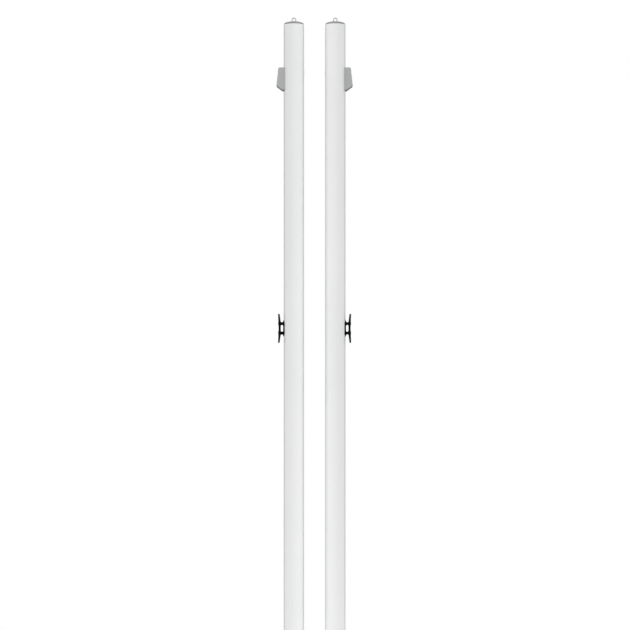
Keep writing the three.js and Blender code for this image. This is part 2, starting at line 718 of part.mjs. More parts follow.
// One moulding: a bar with two horns on two legs, drawn as its side outline with the window between the legs,
// narrowed towards the tips by its front outline, on a pad that hugs the tube.
function cleat() {
  const half = CLEAT_LENGTH / 2;
  const legOut = cleatScrewZ + CLEAT_LEG / 2;
  const legIn = cleatScrewZ - CLEAT_LEG / 2;
  const barIn = tubeRadius + CLEAT_CORD_ROOM;
  const tipOut = cleatFace + CLEAT_TIP_LIFT;
  const tipIn = tipOut - CLEAT_TIP;
  const tipRound = CLEAT_TIP * TIP_ROUND_SHARE;
  const padFace = tubeRadius + SEAT_GAP + CLEAT_PAD_THICKNESS;
  const deep = boreRadius;
  const footEnd = legOut + CLEAT_NECK_ROUND + CLEAT_EDGE_ROUND / 2;
  const side = outline([
    [deep, -footEnd],
    [padFace, -footEnd],
    [padFace, -legOut, CLEAT_NECK_ROUND],
    [barIn, -legOut, CLEAT_NECK_ROUND],
    [tipIn, -half, tipRound],
    [tipOut, -half, tipRound],
    [cleatFace, 0, CLEAT_LENGTH],
    [tipOut, half, tipRound],
    [tipIn, half, tipRound],
    [barIn, legOut, CLEAT_NECK_ROUND],
    [padFace, legOut, CLEAT_NECK_ROUND],
    [padFace, footEnd],
    [deep, footEnd],
  ]);
  side.holes.push(
    outline(
      [
        [padFace, -legIn, CLEAT_NECK_ROUND],
        [barIn, -legIn, CLEAT_NECK_ROUND],
        [barIn, legIn, CLEAT_NECK_ROUND],
        [padFace, legIn, CLEAT_NECK_ROUND],
      ],
      THREE.Path,
    ),
  );
  const front = outline([
    [CLEAT_WIDTH / 2, 0, CLEAT_LENGTH],
    [CLEAT_TIP_WIDTH / 2, half, CLEAT_TIP_WIDTH * TIP_ROUND_SHARE],
    [-CLEAT_TIP_WIDTH / 2, half, CLEAT_TIP_WIDTH * TIP_ROUND_SHARE],
    [-CLEAT_WIDTH / 2, 0, CLEAT_LENGTH],
    [-CLEAT_TIP_WIDTH / 2, -half, CLEAT_TIP_WIDTH * TIP_ROUND_SHARE],
    [CLEAT_TIP_WIDTH / 2, -half, CLEAT_TIP_WIDTH * TIP_ROUND_SHARE],
  ]);
  const body = solidOf(plate(side, -CLEAT_WIDTH / 2, CLEAT_WIDTH / 2, CLEAT_EDGE_ROUND));
  const horns = body.intersect(solidOf(prismAlongX(front, 0, tipOut + OVERRUN)));

  const bossRadius = CLEAT_BOSS_DIAMETER / 2;
  const bossFace = cleatFace + CLEAT_BOSS_RISE;
  const boss = turnedAlongX(
    [
      [0, barIn + CLEAT_EDGE_ROUND],
      [bossRadius, barIn + CLEAT_EDGE_ROUND],
      [bossRadius, bossFace - CLEAT_BOSS_RISE / 2],
      [bossRadius - CLEAT_BOSS_RISE / 2, bossFace],
      [0, bossFace],
    ],
    SMALL_SIDES,
  );
  const padShape = roundedRectangle(CLEAT_PAD_WIDTH, CLEAT_PAD_LENGTH, CLEAT_PAD_ROUND);
  const pad = saddlePad(padShape, CLEAT_PAD_THICKNESS, half);
  const whole = join(
    pad,
    cut(horns, tubeSpace(tubeRadius + SEAT_GAP, half)),
    solidOf(boss.clone().translate(0, 0, cleatScrewZ)),
    solidOf(boss.clone().translate(0, 0, -cleatScrewZ)),
  );
  return cut(whole, screwHole(cleatScrewHead, cleatScrewZ), screwHole(cleatScrewHead, -cleatScrewZ));
}

// Finishes

const finishes = {
  white_powder_coat: { color: 0xf1f2f4, roughness: 0.42, metalness: 0 },
  grey_moulding: { color: 0xa4a6aa, roughness: 0.5, metalness: 0 },
  cap_moulding: { color: 0x8f9196, roughness: 0.45, metalness: 0 },
  black_nylon: { color: 0x14161a, roughness: 0.4, metalness: 0 },
  white_nylon: { color: 0xdfdfda, roughness: 0.5, metalness: 0 },
  plated_steel: { color: 0xb9bcc0, roughness: 0.3, metalness: 1 },
};

// The pieces of one post: name, solid, finish, height of its frame, and a turn about the tube's axis.
const pieces = [
  ["tube", tube(), "white_powder_coat", tubeFootZ],
  ["top_cap", topCap(), "cap_moulding", capSeatZ],
  ["eye_bolt", eyeBolt(), "plated_steel", eyeCentreZ],
  ["eye_washer", eyeWasher(), "plated_steel", eyeCentreZ + eyeWasherZ],
  ["eye_nut", eyeNut(), "plated_steel", eyeCentreZ + eyeNutZ],
  ["pulley_hood", hood(), "grey_moulding", axleZ],
  ["pulley_sheave", sheave(), "white_nylon", axleZ, axleX],
  ["pulley_axle", axle(), "plated_steel", axleZ, axleX],
  ["axle_clip", axleClip(), "plated_steel", axleZ, axleX],
  ["hood_screw_upper", screw(hoodUpperScrewHead), "plated_steel", axleZ + hoodUpperScrewZ],
  ["hood_screw_lower", screw(hoodLowerScrewHead), "plated_steel", axleZ + hoodLowerScrewZ],
  ["hood_nut_upper", rivetNut(), "plated_steel", axleZ + hoodUpperScrewZ],
  ["hood_nut_lower", rivetNut(), "plated_steel", axleZ + hoodLowerScrewZ],
  ["cord_inlet", cordInlet(), "white_nylon", axleZ + inletZ, 0, Math.PI],
  ["cleat", cleat(), "black_nylon", cleatZ],
  ["cleat_screw_upper", screw(cleatScrewHead), "plated_steel", cleatZ + cleatScrewZ],
  ["cleat_screw_lower", screw(cleatScrewHead), "plated_steel", cleatZ - cleatScrewZ],
  ["cleat_nut_upper", rivetNut(), "plated_steel", cleatZ + cleatScrewZ],
  ["cleat_nut_lower", rivetNut(), "plated_steel", cleatZ - cleatScrewZ],
  ["foot_plug", footPlug(), "black_nylon", 0],
];

// One post with its fittings. Both posts share the shapes, and each mesh has its own material.
function post(side) {
  const group = new THREE.Group();
  for (const [name, solid, finish, z, x = 0, turn = 0] of pieces) {
    const material = new THREE.MeshStandardMaterial(finishes[finish]);
    const mesh = new THREE.Mesh(geometryOf(solid), material);
    mesh.name = `${side}_${name}`;
    mesh.position.set(x, 0, z);
    mesh.rotation.z = name === "eye_bolt" ? THREE.MathUtils.degToRad(EYE_TURN[side]) : turn;
    group.add(mesh);
  }
  return group;
}

const rightPost = post("right");
rightPost.position.x = POST_SPACING / 2;

const leftPost = post("left");
leftPost.position.x = -POST_SPACING / 2;
leftPost.rotation.z = Math.PI;

const posts = new THREE.Group();
posts.add(leftPost, rightPost);

export default posts;
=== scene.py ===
# %% [markdown]
# # A pair of badminton net posts
#
# Two white tubes stand side by side. Each has a domed grey cap with an eye bolt, a grey hood over a pulley
# and a black horn cleat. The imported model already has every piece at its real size. This lesson dresses the
# pieces that can be seen: it rebuilds each one with fine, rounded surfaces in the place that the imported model
# gives it, and gives every piece a finish made of nodes.
#
# Everything is in metres. X runs along the net line, Y away from the camera and Z up.

import json
import math

import bmesh
import bpy
from mathutils import Matrix, Vector


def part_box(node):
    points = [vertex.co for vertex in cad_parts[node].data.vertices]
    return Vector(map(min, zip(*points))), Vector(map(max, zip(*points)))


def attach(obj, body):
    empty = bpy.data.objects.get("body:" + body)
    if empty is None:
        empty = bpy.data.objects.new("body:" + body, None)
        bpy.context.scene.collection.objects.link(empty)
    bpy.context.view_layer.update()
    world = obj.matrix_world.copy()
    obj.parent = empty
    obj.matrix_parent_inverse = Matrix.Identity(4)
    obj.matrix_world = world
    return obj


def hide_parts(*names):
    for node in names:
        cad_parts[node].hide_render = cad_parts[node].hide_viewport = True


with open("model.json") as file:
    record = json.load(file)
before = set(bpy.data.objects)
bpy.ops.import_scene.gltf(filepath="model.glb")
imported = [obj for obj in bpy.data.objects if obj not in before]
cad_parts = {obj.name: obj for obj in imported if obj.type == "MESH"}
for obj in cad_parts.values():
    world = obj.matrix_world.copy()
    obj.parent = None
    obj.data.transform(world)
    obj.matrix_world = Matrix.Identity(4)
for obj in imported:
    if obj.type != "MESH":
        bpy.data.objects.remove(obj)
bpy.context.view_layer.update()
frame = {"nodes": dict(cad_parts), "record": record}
print("packed nodes:", len(frame["nodes"]))

# %% [markdown]
# ## Read the places off the model
#
# The two posts are the same post. The left one is turned half a turn about its tube, so that the fittings of
# both face outwards. So each piece is shaped only once, in a post's own frame: its tube's axis is Z, and its
# outer side is +X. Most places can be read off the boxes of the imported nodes, which keeps the pieces where
# the model has them. Only the roundings and walls that a box can't tell are written out here.

# %% Places in a post's own frame
POST_BODY = "posts"
SHEAVE_BODY = {"left": "left_sheave", "right": "right_sheave"}

tube_low, tube_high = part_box("right_tube")
POST_X = (tube_low.x + tube_high.x) / 2
TUBE_RADIUS = (tube_high.y - tube_low.y) / 2


def own_box(piece):
    """The box of a piece of the right post, in that post's own frame."""
    low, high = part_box("right_" + piece)
    to_axis = Vector((POST_X, 0, 0))
    return low - to_axis, high - to_axis


def own_middle(piece):
    low, high = own_box(piece)
    return (low + high) / 2


TUBE_FOOT = tube_low.z
TUBE_TOP = tube_high.z
TUBE_WALL = 0.002
BORE_RADIUS = TUBE_RADIUS - TUBE_WALL
SEAT_GAP = 0.0002
SEAT_RADIUS = TUBE_RADIUS + SEAT_GAP
OVERRUN = 0.003

AXLE = own_middle("pulley_sheave")
CLEAT_HEIGHT = own_middle("cleat").z
print(f"tube: radius {TUBE_RADIUS:.4f}, top {TUBE_TOP:.4f}; axle at {AXLE.x:.4f}, {AXLE.z:.4f}")

# %% [markdown]
# ## The camera
#
# The photograph is 630 pixels square and was taken with a long lens, because the two tubes stay parallel and
# their caps show only a little of their curve. One pixel is 2.46 mm at the posts, and the eye level is
# 715 mm below the tubes' tops, where the rims would look straight. A long lens 3.9 m away gives just that.
# The camera looks level, so upright lines stay upright.

# %% Place the camera
LENS = 90.42
SENSOR = 36
CAMERA_DISTANCE = 3.9
EYE_LEVEL_BELOW_TOP = 0.7148
CAMERA_X = 0.001


def new_object(name, data):
    """An object with that data, linked to the scene."""
    made = bpy.data.objects.new(name, data)
    bpy.context.scene.collection.objects.link(made)
    return made


camera_data = bpy.data.cameras.new("photo_camera")
camera_data.lens = LENS
camera_data.sensor_width = SENSOR
camera = new_object("photo_camera", camera_data)
camera.location = (CAMERA_X, -CAMERA_DISTANCE, TUBE_TOP - EYE_LEVEL_BELOW_TOP)
camera.rotation_euler = (math.radians(90), 0, 0)
bpy.context.scene.camera = camera
print("camera at", tuple(camera.location))

# %% [markdown]
# ## Adding and wiring nodes
#
# A finish is a small tree of nodes. Each node can be added and linked by hand in the Shader Editor, or in
# Python with a line for every link. The six finishes in this lesson have 120 links, so a few helpers write
# them: one adds a node with its settings, one gives a socket either a plain value or another node's output,
# and one feeds a node's first sockets in order.

# %% Add and wire nodes
def feed(tree, socket, value):
    """Give a socket another node's output, or a plain value."""
    if isinstance(value, bpy.types.NodeSocket):
        tree.links.new(value, socket)
    else:
        socket.default_value = value


def node_of(tree, kind, settings=None, **sockets):
    """A new node. Settings are its own options, and sockets are values or other nodes' outputs."""
    node = tree.nodes.new(kind)
    for name, value in (settings or {}).items():
        setattr(node, name, value)
    for name, value in sockets.items():
        feed(tree, node.inputs[name.replace("_", " ")], value)
    return node


def through(tree, kind, settings, *values):
    """The output of a node whose first sockets are given values or outputs, in order."""
    node = node_of(tree, kind, settings)
    for socket, value in zip(node.inputs, values):
        feed(tree, socket, value)
    return node.outputs[0]


# %% [markdown]
# ## Textures, colours and bumps
#
# Real surfaces are never the same all over, so each finish stretches and mixes a few noise textures. Noise
# values lie mostly between 0.3 and 0.7, so that is the range a value is stretched from unless another is
# given. Textures read object coordinates, because generated ones would be squeezed to each piece's own box.
# Object coordinates are metres here, so a scale of 400 is a grain of about 2.5 mm on every piece.

# %% Stretch, mix and bump textures
# A Mix node has sockets for each kind of data. These are the numbers of those that mix colours.
MIX_SHARE, MIX_FIRST, MIX_SECOND, MIX_RESULT = 0, 6, 7, 2


def remapped(tree, value, low, high, from_low=0.3, from_high=0.7):
    """A value stretched to run from low to high."""
    sockets = {"Value": value, "To_Min": low, "To_Max": high, "From_Min": from_low, "From_Max": from_high}
    return node_of(tree, "ShaderNodeMapRange", **sockets).outputs["Result"]


def noise(tree, vector, scale, detail=2.0, roughness=0.5):
    node = node_of(tree, "ShaderNodeTexNoise", Vector=vector, Scale=scale, Detail=detail, Roughness=roughness)
    return node.outputs["Fac"]


def blend_of(tree, share, first, second):
    """A colour between two others. Colours are given, or come from another node."""
    mix = node_of(tree, "ShaderNodeMix", {"data_type": "RGBA"})
    for number, value in ((MIX_SHARE, share), (MIX_FIRST, first), (MIX_SECOND, second)):
        feed(tree, mix.inputs[number], value)
    return mix.outputs[MIX_RESULT]


def combined(tree, operation, *values):
    """Values or outputs through one Math node."""
    return through(tree, "ShaderNodeMath", {"operation": operation}, *values)


def bumped(tree, height, strength, distance, under=None):
    """A normal tilted by a height, on top of another bump where one is given."""
    sockets = {"Height": height, "Strength": strength, "Distance": distance}
    if under is not None:
        sockets["Normal"] = under
    return node_of(tree, "ShaderNodeBump", **sockets).outputs["Normal"]


def grey(level, warmth=0.0):
    """A colour of one level, a little cooler or warmer."""
    return (level * (1 + warmth), level, level * (1 - warmth), 1.0)


# %% [markdown]
# ## An empty finish
#
# Every finish starts alike, as a new material with its Principled shader and a node that gives the place on
# the piece. And every finish changes its colour, its roughness and its small bumps from spot to spot, so one
# helper wires those three. What is the same all over is set on the shader's own sockets.

# %% Start and keep a finish
finishes = {}


def new_finish(name):
    """An empty material with its shader, and the object coordinates that its textures read."""
    material = bpy.data.materials.new(name)
    material.use_nodes = True
    tree = material.node_tree
    place = tree.nodes.new("ShaderNodeTexCoord").outputs["Object"]
    return material, tree, tree.nodes["Principled BSDF"].inputs, place


def feed_shader(tree, sockets, colour, roughness, normal):
    """Wire the three sockets that every finish changes from spot to spot."""
    for name, output in {"Base Color": colour, "Roughness": roughness, "Normal": normal}.items():
        tree.links.new(output, sockets[name])


def keep_finish(slot, material):
    """Keep a finish under the name of its slot, for the pieces that have that slot."""
    finishes[slot] = material
    print(f"{slot}: {material.name}, {len(material.node_tree.nodes)} nodes")


# %% [markdown]
# ## White powder coat
#
# The tubes are sprayed with powder that melts in an oven. It dries to a satin skin with a faint orange peel,
# little dimples 2 to 3 mm apart, and its gloss drifts a little along the tube.
#
# The dimples could be modelled, but on 1.8 m of tube that would take millions of faces. A bump node only
# tilts the light, which is all that shows of them. Two larger noises move the colour and the roughness a
# little. The resin that comes to the top as the powder melts is smoother than the pigment below it. The
# shader's coat layer stands for that resin, and it mirrors the surroundings at the tube's edges.

# %% White powder coat
def white_powder_coat():
    material, tree, sockets, place = new_finish("white_powder_coat")
    drift = noise(tree, place, scale=7, detail=3)
    cloud = noise(tree, place, scale=55, detail=4, roughness=0.6)
    peel = noise(tree, place, scale=420, detail=2)
    grit = noise(tree, place, scale=2600, detail=1)
    cool, bright = grey(0.86, warmth=-0.006), grey(0.89, warmth=-0.003)
    colour = blend_of(tree, remapped(tree, drift, 0, 1), cool, bright)
    roughness = remapped(tree, cloud, low=0.38, high=0.5)
    skin = bumped(tree, peel, strength=0.25, distance=0.0002)
    gritty = bumped(tree, grit, strength=0.08, distance=0.00005, under=skin)
    feed_shader(tree, sockets, colour, roughness, gritty)
    sockets["Coat Weight"].default_value = 0.8
    sockets["Coat Roughness"].default_value = 0.2
    return material


keep_finish("tube_white", white_powder_coat())

# %% [markdown]
# ## Where plastic wears and takes a painted highlight, and where shade is painted
#
# The edges of a moulding rub lighter with handling, here more and there less, and that lighter edge is also
# a painted highlight, which stops on undersides. Corners and undersides are darkened with painted shade.
#
# Both could be painted on by hand, but then every change of shape would ask for new paint. Ambient occlusion
# nodes find the spots from the shape itself. One looks into the plastic, where rays soon come out again near
# an edge. One looks outward, and sees little open air in a corner. The direction of the surface tells the
# undersides.

# %% Wear and painted highlight, and painted shade
FLOW_SHADE = 0.93
# Painted shade: how dark it makes a spot, how far it looks for corners, and how much undersides get.
PAINTED_SHADE_LEVEL = 0.15
PAINTED_SHADE_REACH = 0.012
PAINTED_SHADE_BELOW = 0.55
# Edges lighter as wear and as a painted highlight: how far the edge reaches, and its least share.
EDGE_WEAR_AND_HIGHLIGHT_REACH = 0.0015
EDGE_WEAR_AND_HIGHLIGHT_LEAST = 0.25
AO_SAMPLES = 8


def openness(tree, reach, **options):
    """How much of the space within reach a spot sees, from 0 to 1."""
    settings = {"samples": AO_SAMPLES, **options}
    return node_of(tree, "ShaderNodeAmbientOcclusion", settings, Distance=reach).outputs["AO"]


def worn_and_highlit_edges(tree, flow, wear_and_highlight, upward):
    """How much an edge is made lighter, as wear and as a painted highlight. It follows the flow texture
    and stops on undersides.
    """
    rubbed_and_highlit = remapped(tree, flow, EDGE_WEAR_AND_HIGHLIGHT_LEAST * wear_and_highlight, wear_and_highlight)
    thickness = openness(tree, EDGE_WEAR_AND_HIGHLIGHT_REACH, inside=True, only_local=True)
    edge = remapped(tree, thickness, rubbed_and_highlit, 0, from_low=0.6, from_high=0.95)
    not_below = remapped(tree, upward, 0, 1, from_low=-0.5, from_high=0)
    return combined(tree, "MULTIPLY", edge, not_below)


def painted_shade(tree, upward):
    """How much painted shade a spot gets: in corners, and below."""
    painted_underside_shade = remapped(tree, upward, PAINTED_SHADE_BELOW, 0, from_low=-0.8, from_high=-0.2)
    painted_corner_shade = remapped(tree, openness(tree, PAINTED_SHADE_REACH), 1, 0, from_low=0.35, from_high=0.9)
    return combined(tree, "MAXIMUM", painted_corner_shade, painted_underside_shade)


# The second reach printed is that of the painted shade in corners.
print(f"edges wear within {EDGE_WEAR_AND_HIGHLIGHT_REACH} m, and dirt gathers within {PAINTED_SHADE_REACH} m")

# %% [markdown]
# ## Moulded plastics
#
# The hood, the cap, the cleat and the foot plug are mouldings. The steel of a mould is spark eroded, which
# prints a fine dull grain on the plastic, and the plastic's flow leaves slightly darker and lighter clouds.
#
# Four materials could be built one by one. They differ only in colour, gloss, grain and wear, so one function
# makes them all: the hood's mid grey, the cap's darker grey, and the black of the cleat and plug. All of them
# get painted shade in corners and below, and a painted highlight on their worn edges.

# %% Moulded plastics
def shaded(colour, share):
    """The colour with its red, green and blue brought down to a share of theirs."""
    return (*(channel * share for channel in colour[:3]), 1.0)


def moulded_plastic(name, body, worn_and_highlit, gloss, grain_scale, grain_depth, wear_and_highlight, shine=0.5):
    """A plastic whose colour goes lighter at the edges, as wear and as a painted highlight, and darker with
    painted shade in corners and below. Gloss is its roughness, low and high.
    """
    material, tree, sockets, place = new_finish(name)
    sockets["Specular IOR Level"].default_value = shine
    flow = noise(tree, place, scale=38, detail=4, roughness=0.6)
    grain = noise(tree, place, scale=grain_scale, detail=3, roughness=0.55)
    waviness = noise(tree, place, scale=160, detail=1)

    facing = tree.nodes.new("ShaderNodeNewGeometry").outputs["Normal"]
    upward = node_of(tree, "ShaderNodeSeparateXYZ", Vector=facing).outputs["Z"]
    flowed = blend_of(tree, remapped(tree, flow, 0, 1), shaded(body, FLOW_SHADE), body)
    # Painted shade in corners and on undersides.
    with_painted_shade = blend_of(tree, painted_shade(tree, upward), flowed, shaded(body, PAINTED_SHADE_LEVEL))
    # Edges lighter as wear and as a painted highlight.
    colour = blend_of(tree, worn_and_highlit_edges(tree, flow, wear_and_highlight, upward), with_painted_shade, worn_and_highlit)
    dull = bumped(tree, grain, strength=0.35, distance=grain_depth)
    wavy = bumped(tree, waviness, strength=0.08, distance=0.0002, under=dull)
    feed_shader(tree, sockets, colour, remapped(tree, grain, *gloss), wavy)
    return material


# The second colour of each plastic is that of its edges, worn and with a painted highlight.
keep_finish("hood_grey", moulded_plastic(
    "grey_hood_moulding", grey(0.475, warmth=-0.012), grey(0.64, warmth=-0.012),
    gloss=(0.46, 0.6), grain_scale=2200, grain_depth=0.00006, wear_and_highlight=0.8,
))
keep_finish("cap_grey", moulded_plastic(
    "grey_cap_moulding", grey(0.31, warmth=-0.02), grey(0.4, warmth=-0.02),
    gloss=(0.28, 0.42), grain_scale=2600, grain_depth=0.00004, wear_and_highlight=0.6,
))
keep_finish("cleat_black", moulded_plastic(
    "black_nylon", grey(0.003, warmth=-0.1), grey(0.009, warmth=-0.05),
    gloss=(0.36, 0.5), grain_scale=1800, grain_depth=0.00005, wear_and_highlight=0.7, shine=0.05,
))

# %% [markdown]
# ## Natural nylon
#
# The sheave and the cord's inlet are nylon without any pigment, milky and a little see-through. Glass-like
# transmission would be too clear and slow to render. The shader's subsurface layer lets light go a short way
# in and come out beside where it went in, which is what makes nylon look soft.

# %% Natural nylon
def natural_nylon():
    material, tree, sockets, place = new_finish("natural_nylon")
    clouds = noise(tree, place, scale=90, detail=3)
    milled = noise(tree, place, scale=900, detail=2)
    milky, clear = grey(0.74, warmth=0.01), grey(0.8, warmth=0.005)
    colour = blend_of(tree, remapped(tree, clouds, 0, 1), milky, clear)
    roughness = remapped(tree, milled, low=0.35, high=0.5)
    feed_shader(tree, sockets, colour, roughness, bumped(tree, milled, strength=0.15, distance=0.0001))
    sockets["Subsurface Weight"].default_value = 0.12
    sockets["Subsurface Scale"].default_value = 0.002
    sockets["Subsurface Radius"].default_value = (1.0, 0.95, 0.9)
    return material


keep_finish("nylon_white", natural_nylon())

# %% [markdown]
# ## Plated steel
#
# The eye bolts, screws, axles and nuts are zinc plated. Zinc grows in small crystals that catch the light in
# patches, and a drawn or turned surface keeps fine lines. A plain metal with one roughness would look like
# chrome. So a cell texture breaks up the roughness, and a noise squeezed along Z draws the lines.

# %% Plated steel
def plated_steel():
    material, tree, sockets, place = new_finish("plated_steel")
    sockets["Metallic"].default_value = 1.0
    crystals = node_of(tree, "ShaderNodeTexVoronoi", Vector=place, Scale=900).outputs["Distance"]
    squeeze = node_of(tree, "ShaderNodeMapping", Vector=place, Scale=(300, 300, 6000)).outputs["Vector"]
    lines = noise(tree, squeeze, scale=1, detail=2)
    bloom = noise(tree, place, scale=260, detail=3)
    dull, bright = grey(0.52, warmth=-0.02), grey(0.68, warmth=-0.01)
    colour = blend_of(tree, remapped(tree, bloom, 0, 1), dull, bright)
    roughness = remapped(tree, crystals, 0.26, 0.42, from_low=0, from_high=1)
    feed_shader(tree, sockets, colour, roughness, bumped(tree, lines, strength=0.15, distance=0.00004))
    return material


keep_finish("plated_steel", plated_steel())

# %% [markdown]
# ## Outlines with rounded corners
#
# A moulding's side view is a run of straight lines with a rounding at each corner. The points of every
# rounding could be typed in, but no one could read or change them. Here an outline is a list of corners, each
# with the radius that rounds it, and the points of the arcs are worked out.

# %% Arcs and outlines
ARC_STEP = 9


def arc(x, y, radius, start, end):
    """Points on an arc, with its angles in degrees."""
    steps = max(2, round(abs(end - start) / ARC_STEP))
    angles = [math.radians(start + (end - start) * i / steps) for i in range(steps + 1)]
    return [(x + radius * math.cos(angle), y + radius * math.sin(angle)) for angle in angles]


def circle(x, y, radius):
    """Points all round, each once."""
    return arc(x, y, radius, 0, 360 - ARC_STEP)


def outline(*corners):
    """A closed outline through corners (x, y, radius). A corner with no radius stays sharp."""
    points = []
    for i, (x, y, *rounding) in enumerate(corners):
        if not rounding:
            points.append((x, y))
            continue
        radius = rounding[0]
        here = Vector((x, y))
        back = (Vector(corners[i - 1][:2]) - here).normalized()
        ahead = (Vector(corners[(i + 1) % len(corners)][:2]) - here).normalized()
        half = back.angle(ahead) / 2
        centre = here + (back + ahead).normalized() * (radius / math.sin(half))
        start = here + back * (radius / math.tan(half)) - centre
        first = math.degrees(math.atan2(start.y, start.x))
        swing = 180 - 2 * math.degrees(half)
        turns_left = back.x * ahead.y < back.y * ahead.x
        points += arc(centre.x, centre.y, radius, first, first + (swing if turns_left else -swing))
    return points


print("points in a full circle:", len(circle(0, 0, 1)))

# %% [markdown]
# ## Meshes from points
#
# Every shape here starts as a list of points and a list of faces. A cube or a cylinder could be added and
# then edited, but those operators work only in the right mode and on the right selection. A mesh that is
# built from its points comes out the same each time.

# %% Build a mesh
SAME_POINT = 1e-7


def edited(mesh, change):
    """Let a function change a mesh's parts, then point all its faces out."""
    work = bmesh.new()
    work.from_mesh(mesh)
    change(work)
    bmesh.ops.recalc_face_normals(work, faces=work.faces)
    work.to_mesh(mesh)
    work.free()


def shape_of(points, faces):
    """An object with that mesh, where points on one place are merged."""
    mesh = bpy.data.meshes.new("shape")
    mesh.from_pydata(points, [], faces)
    edited(mesh, lambda work: bmesh.ops.remove_doubles(work, verts=work.verts, dist=SAME_POINT))
    return new_object("shape", mesh)


# %% [markdown]
# ## Turned pieces
#
# Tubes, caps, pins and wheels are round, and a workshop turns them on a lathe. Blender's Spin tool or its
# Screw modifier could do it from a profile. Both leave two rows of points on one seam, and double points on
# the axis. So the rings of points are computed here, which closes the seam by itself, and points that fall on
# one place are merged.

# %% Turn a profile
TURN_STEPS = 96
FEW_STEPS = TURN_STEPS // 2
ALONG_Z = Matrix.Identity(4)
ALONG_X = Matrix.Rotation(math.radians(90), 4, "Y")
ALONG_Y = Matrix.Rotation(math.radians(-90), 4, "X")


def turned(profile, axis=ALONG_Z, at=(0, 0, 0), steps=TURN_STEPS):
    """A closed profile of (radius, height) points, turned about an axis through a point."""
    rings = len(profile)
    angles = [2 * math.pi * i / steps for i in range(steps)]
    points = [
        Vector((radius * math.cos(angle), radius * math.sin(angle), height))
        for angle in angles
        for radius, height in profile
    ]
    faces = []
    for i in range(steps):
        here, ahead = i * rings, (i + 1) % steps * rings
        for j in range(rings):
            k = (j + 1) % rings
            if profile[j][0] > 0 or profile[k][0] > 0:
                faces.append((here + j, ahead + j, ahead + k, here + k))
    move = Matrix.Translation(at) @ axis
    return shape_of([move @ point for point in points], faces)


def rod(radius, low, high, axis, at, steps=TURN_STEPS):
    """A plain round bar between two places along an axis, used to cut holes."""
    return turned([(0, low), (radius, low), (radius, high), (0, high)], axis, at, steps)


print(f"steps round a turned piece: {TURN_STEPS}, or {FEW_STEPS} for a small one")

# %% [markdown]
# ## Drawn-out pieces
#
# A piece that is flat in one direction is its outline drawn out to a thickness. The rims at both ends can be
# rounded by a bevel right away, while the mesh still has only two large end faces and their edges are easy to
# tell from the others.

# %% Draw out an outline
def drawn_out(points, low, high, across="Y", rim=0.0, rim_steps=6):
    """An outline in the X-Z plane drawn out along Y, or in the Y-Z plane along X. A rim rounds both ends."""
    count = len(points)
    place = (lambda a, b, c: (a, c, b)) if across == "Y" else (lambda a, b, c: (c, a, b))
    corners = [place(a, b, end) for end in (low, high) for a, b in points]
    sides = [(i, (i + 1) % count, count + (i + 1) % count, count + i) for i in range(count)]
    ends = [tuple(range(count)), tuple(range(count, 2 * count))]
    shape = shape_of(corners, sides + ends)

    def round_rims(work):
        rims = [edge for face in work.faces if len(face.verts) == count for edge in face.edges]
        bmesh.ops.bevel(work, geom=rims, offset=rim, segments=rim_steps, profile=0.5, affect="EDGES")

    if rim > 0:
        edited(shape.data, round_rims)
    return shape


# %% [markdown]
# ## Joining and cutting
#
# Slots, holes and hollows are cut as a workshop would, by taking one solid out of another. Boolean modifiers
# do that. Their result is kept in the mesh at once and the tools are thrown away, so the next step starts
# from a plain mesh. The exact solver is slower than the fast one, but it copes with faces that lie on each
# other.

# %% Join and cut
def settled(shape):
    """The shape with its modifiers worked into its mesh."""
    seen = shape.evaluated_get(bpy.context.evaluated_depsgraph_get())
    mesh = bpy.data.meshes.new_from_object(seen)
    shape.modifiers.clear()
    shape.data = mesh
    return shape


def with_tools(shape, tools, operation):
    """The shape, changed in place by tools that are used up."""
    for tool in tools:
        modifier = shape.modifiers.new("tool", "BOOLEAN")
        modifier.operation = operation
        modifier.solver = "EXACT"
        modifier.object = tool
    settled(shape)
    for tool in tools:
        bpy.data.objects.remove(tool)
    return shape


def cut(shape, *tools):
    return with_tools(shape, tools, "DIFFERENCE")


def join(shape, *tools):
    return with_tools(shape, tools, "UNION")


# %% [markdown]
# ## Setting a piece on both posts
#
# Each finished shape is copied to the right post, and to the left post turned half a turn. The copy takes the
# finish of its slot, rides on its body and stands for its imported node. Its mesh is moved rather than its
# object, so that the noise textures don't repeat from one post to the other. Faces that meet at less than a
# given angle are shaded as one smooth surface.

# %% Set a piece on both posts
SIDES = {
    "left": Matrix.Translation((-POST_X, 0, 0)) @ Matrix.Rotation(math.pi, 4, "Z"),
    "right": Matrix.Translation((POST_X, 0, 0)),
}
SMOOTH_BELOW = math.radians(32)
slot_of = {part["node"]: part["material_slot"] for part in frame["record"]["subparts"]}
lit_with = {side: bpy.data.collections.new(side + "_post") for side in SIDES}
print("posts:", ", ".join(SIDES), "with slots", ", ".join(sorted(set(slot_of.values()))))


def set_on_posts(piece, shape, smooth_below=SMOOTH_BELOW, turns=None):
    """Copies of a shape on both posts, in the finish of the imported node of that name."""
    for side, place in SIDES.items():
        node = f"{side}_{piece}"
        mesh = shape.data.copy()
        turn = Matrix.Rotation((turns or {}).get(side, 0), 4, "Z")
        mesh.transform(place @ turn)
        mesh.materials.clear()
        mesh.materials.append(finishes[slot_of[node]])
        mesh.polygons.foreach_set("use_smooth", [True] * len(mesh.polygons))
        mesh.set_sharp_from_angle(angle=smooth_below)
        fine = new_object(node + "_fine", mesh)
        lit_with[side].objects.link(fine)
        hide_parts(node)
        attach(fine, SHEAVE_BODY[side] if piece == "pulley_sheave" else POST_BODY)
    print(f"{piece}: {len(shape.data.polygons)} faces on each post")
    bpy.data.objects.remove(shape)


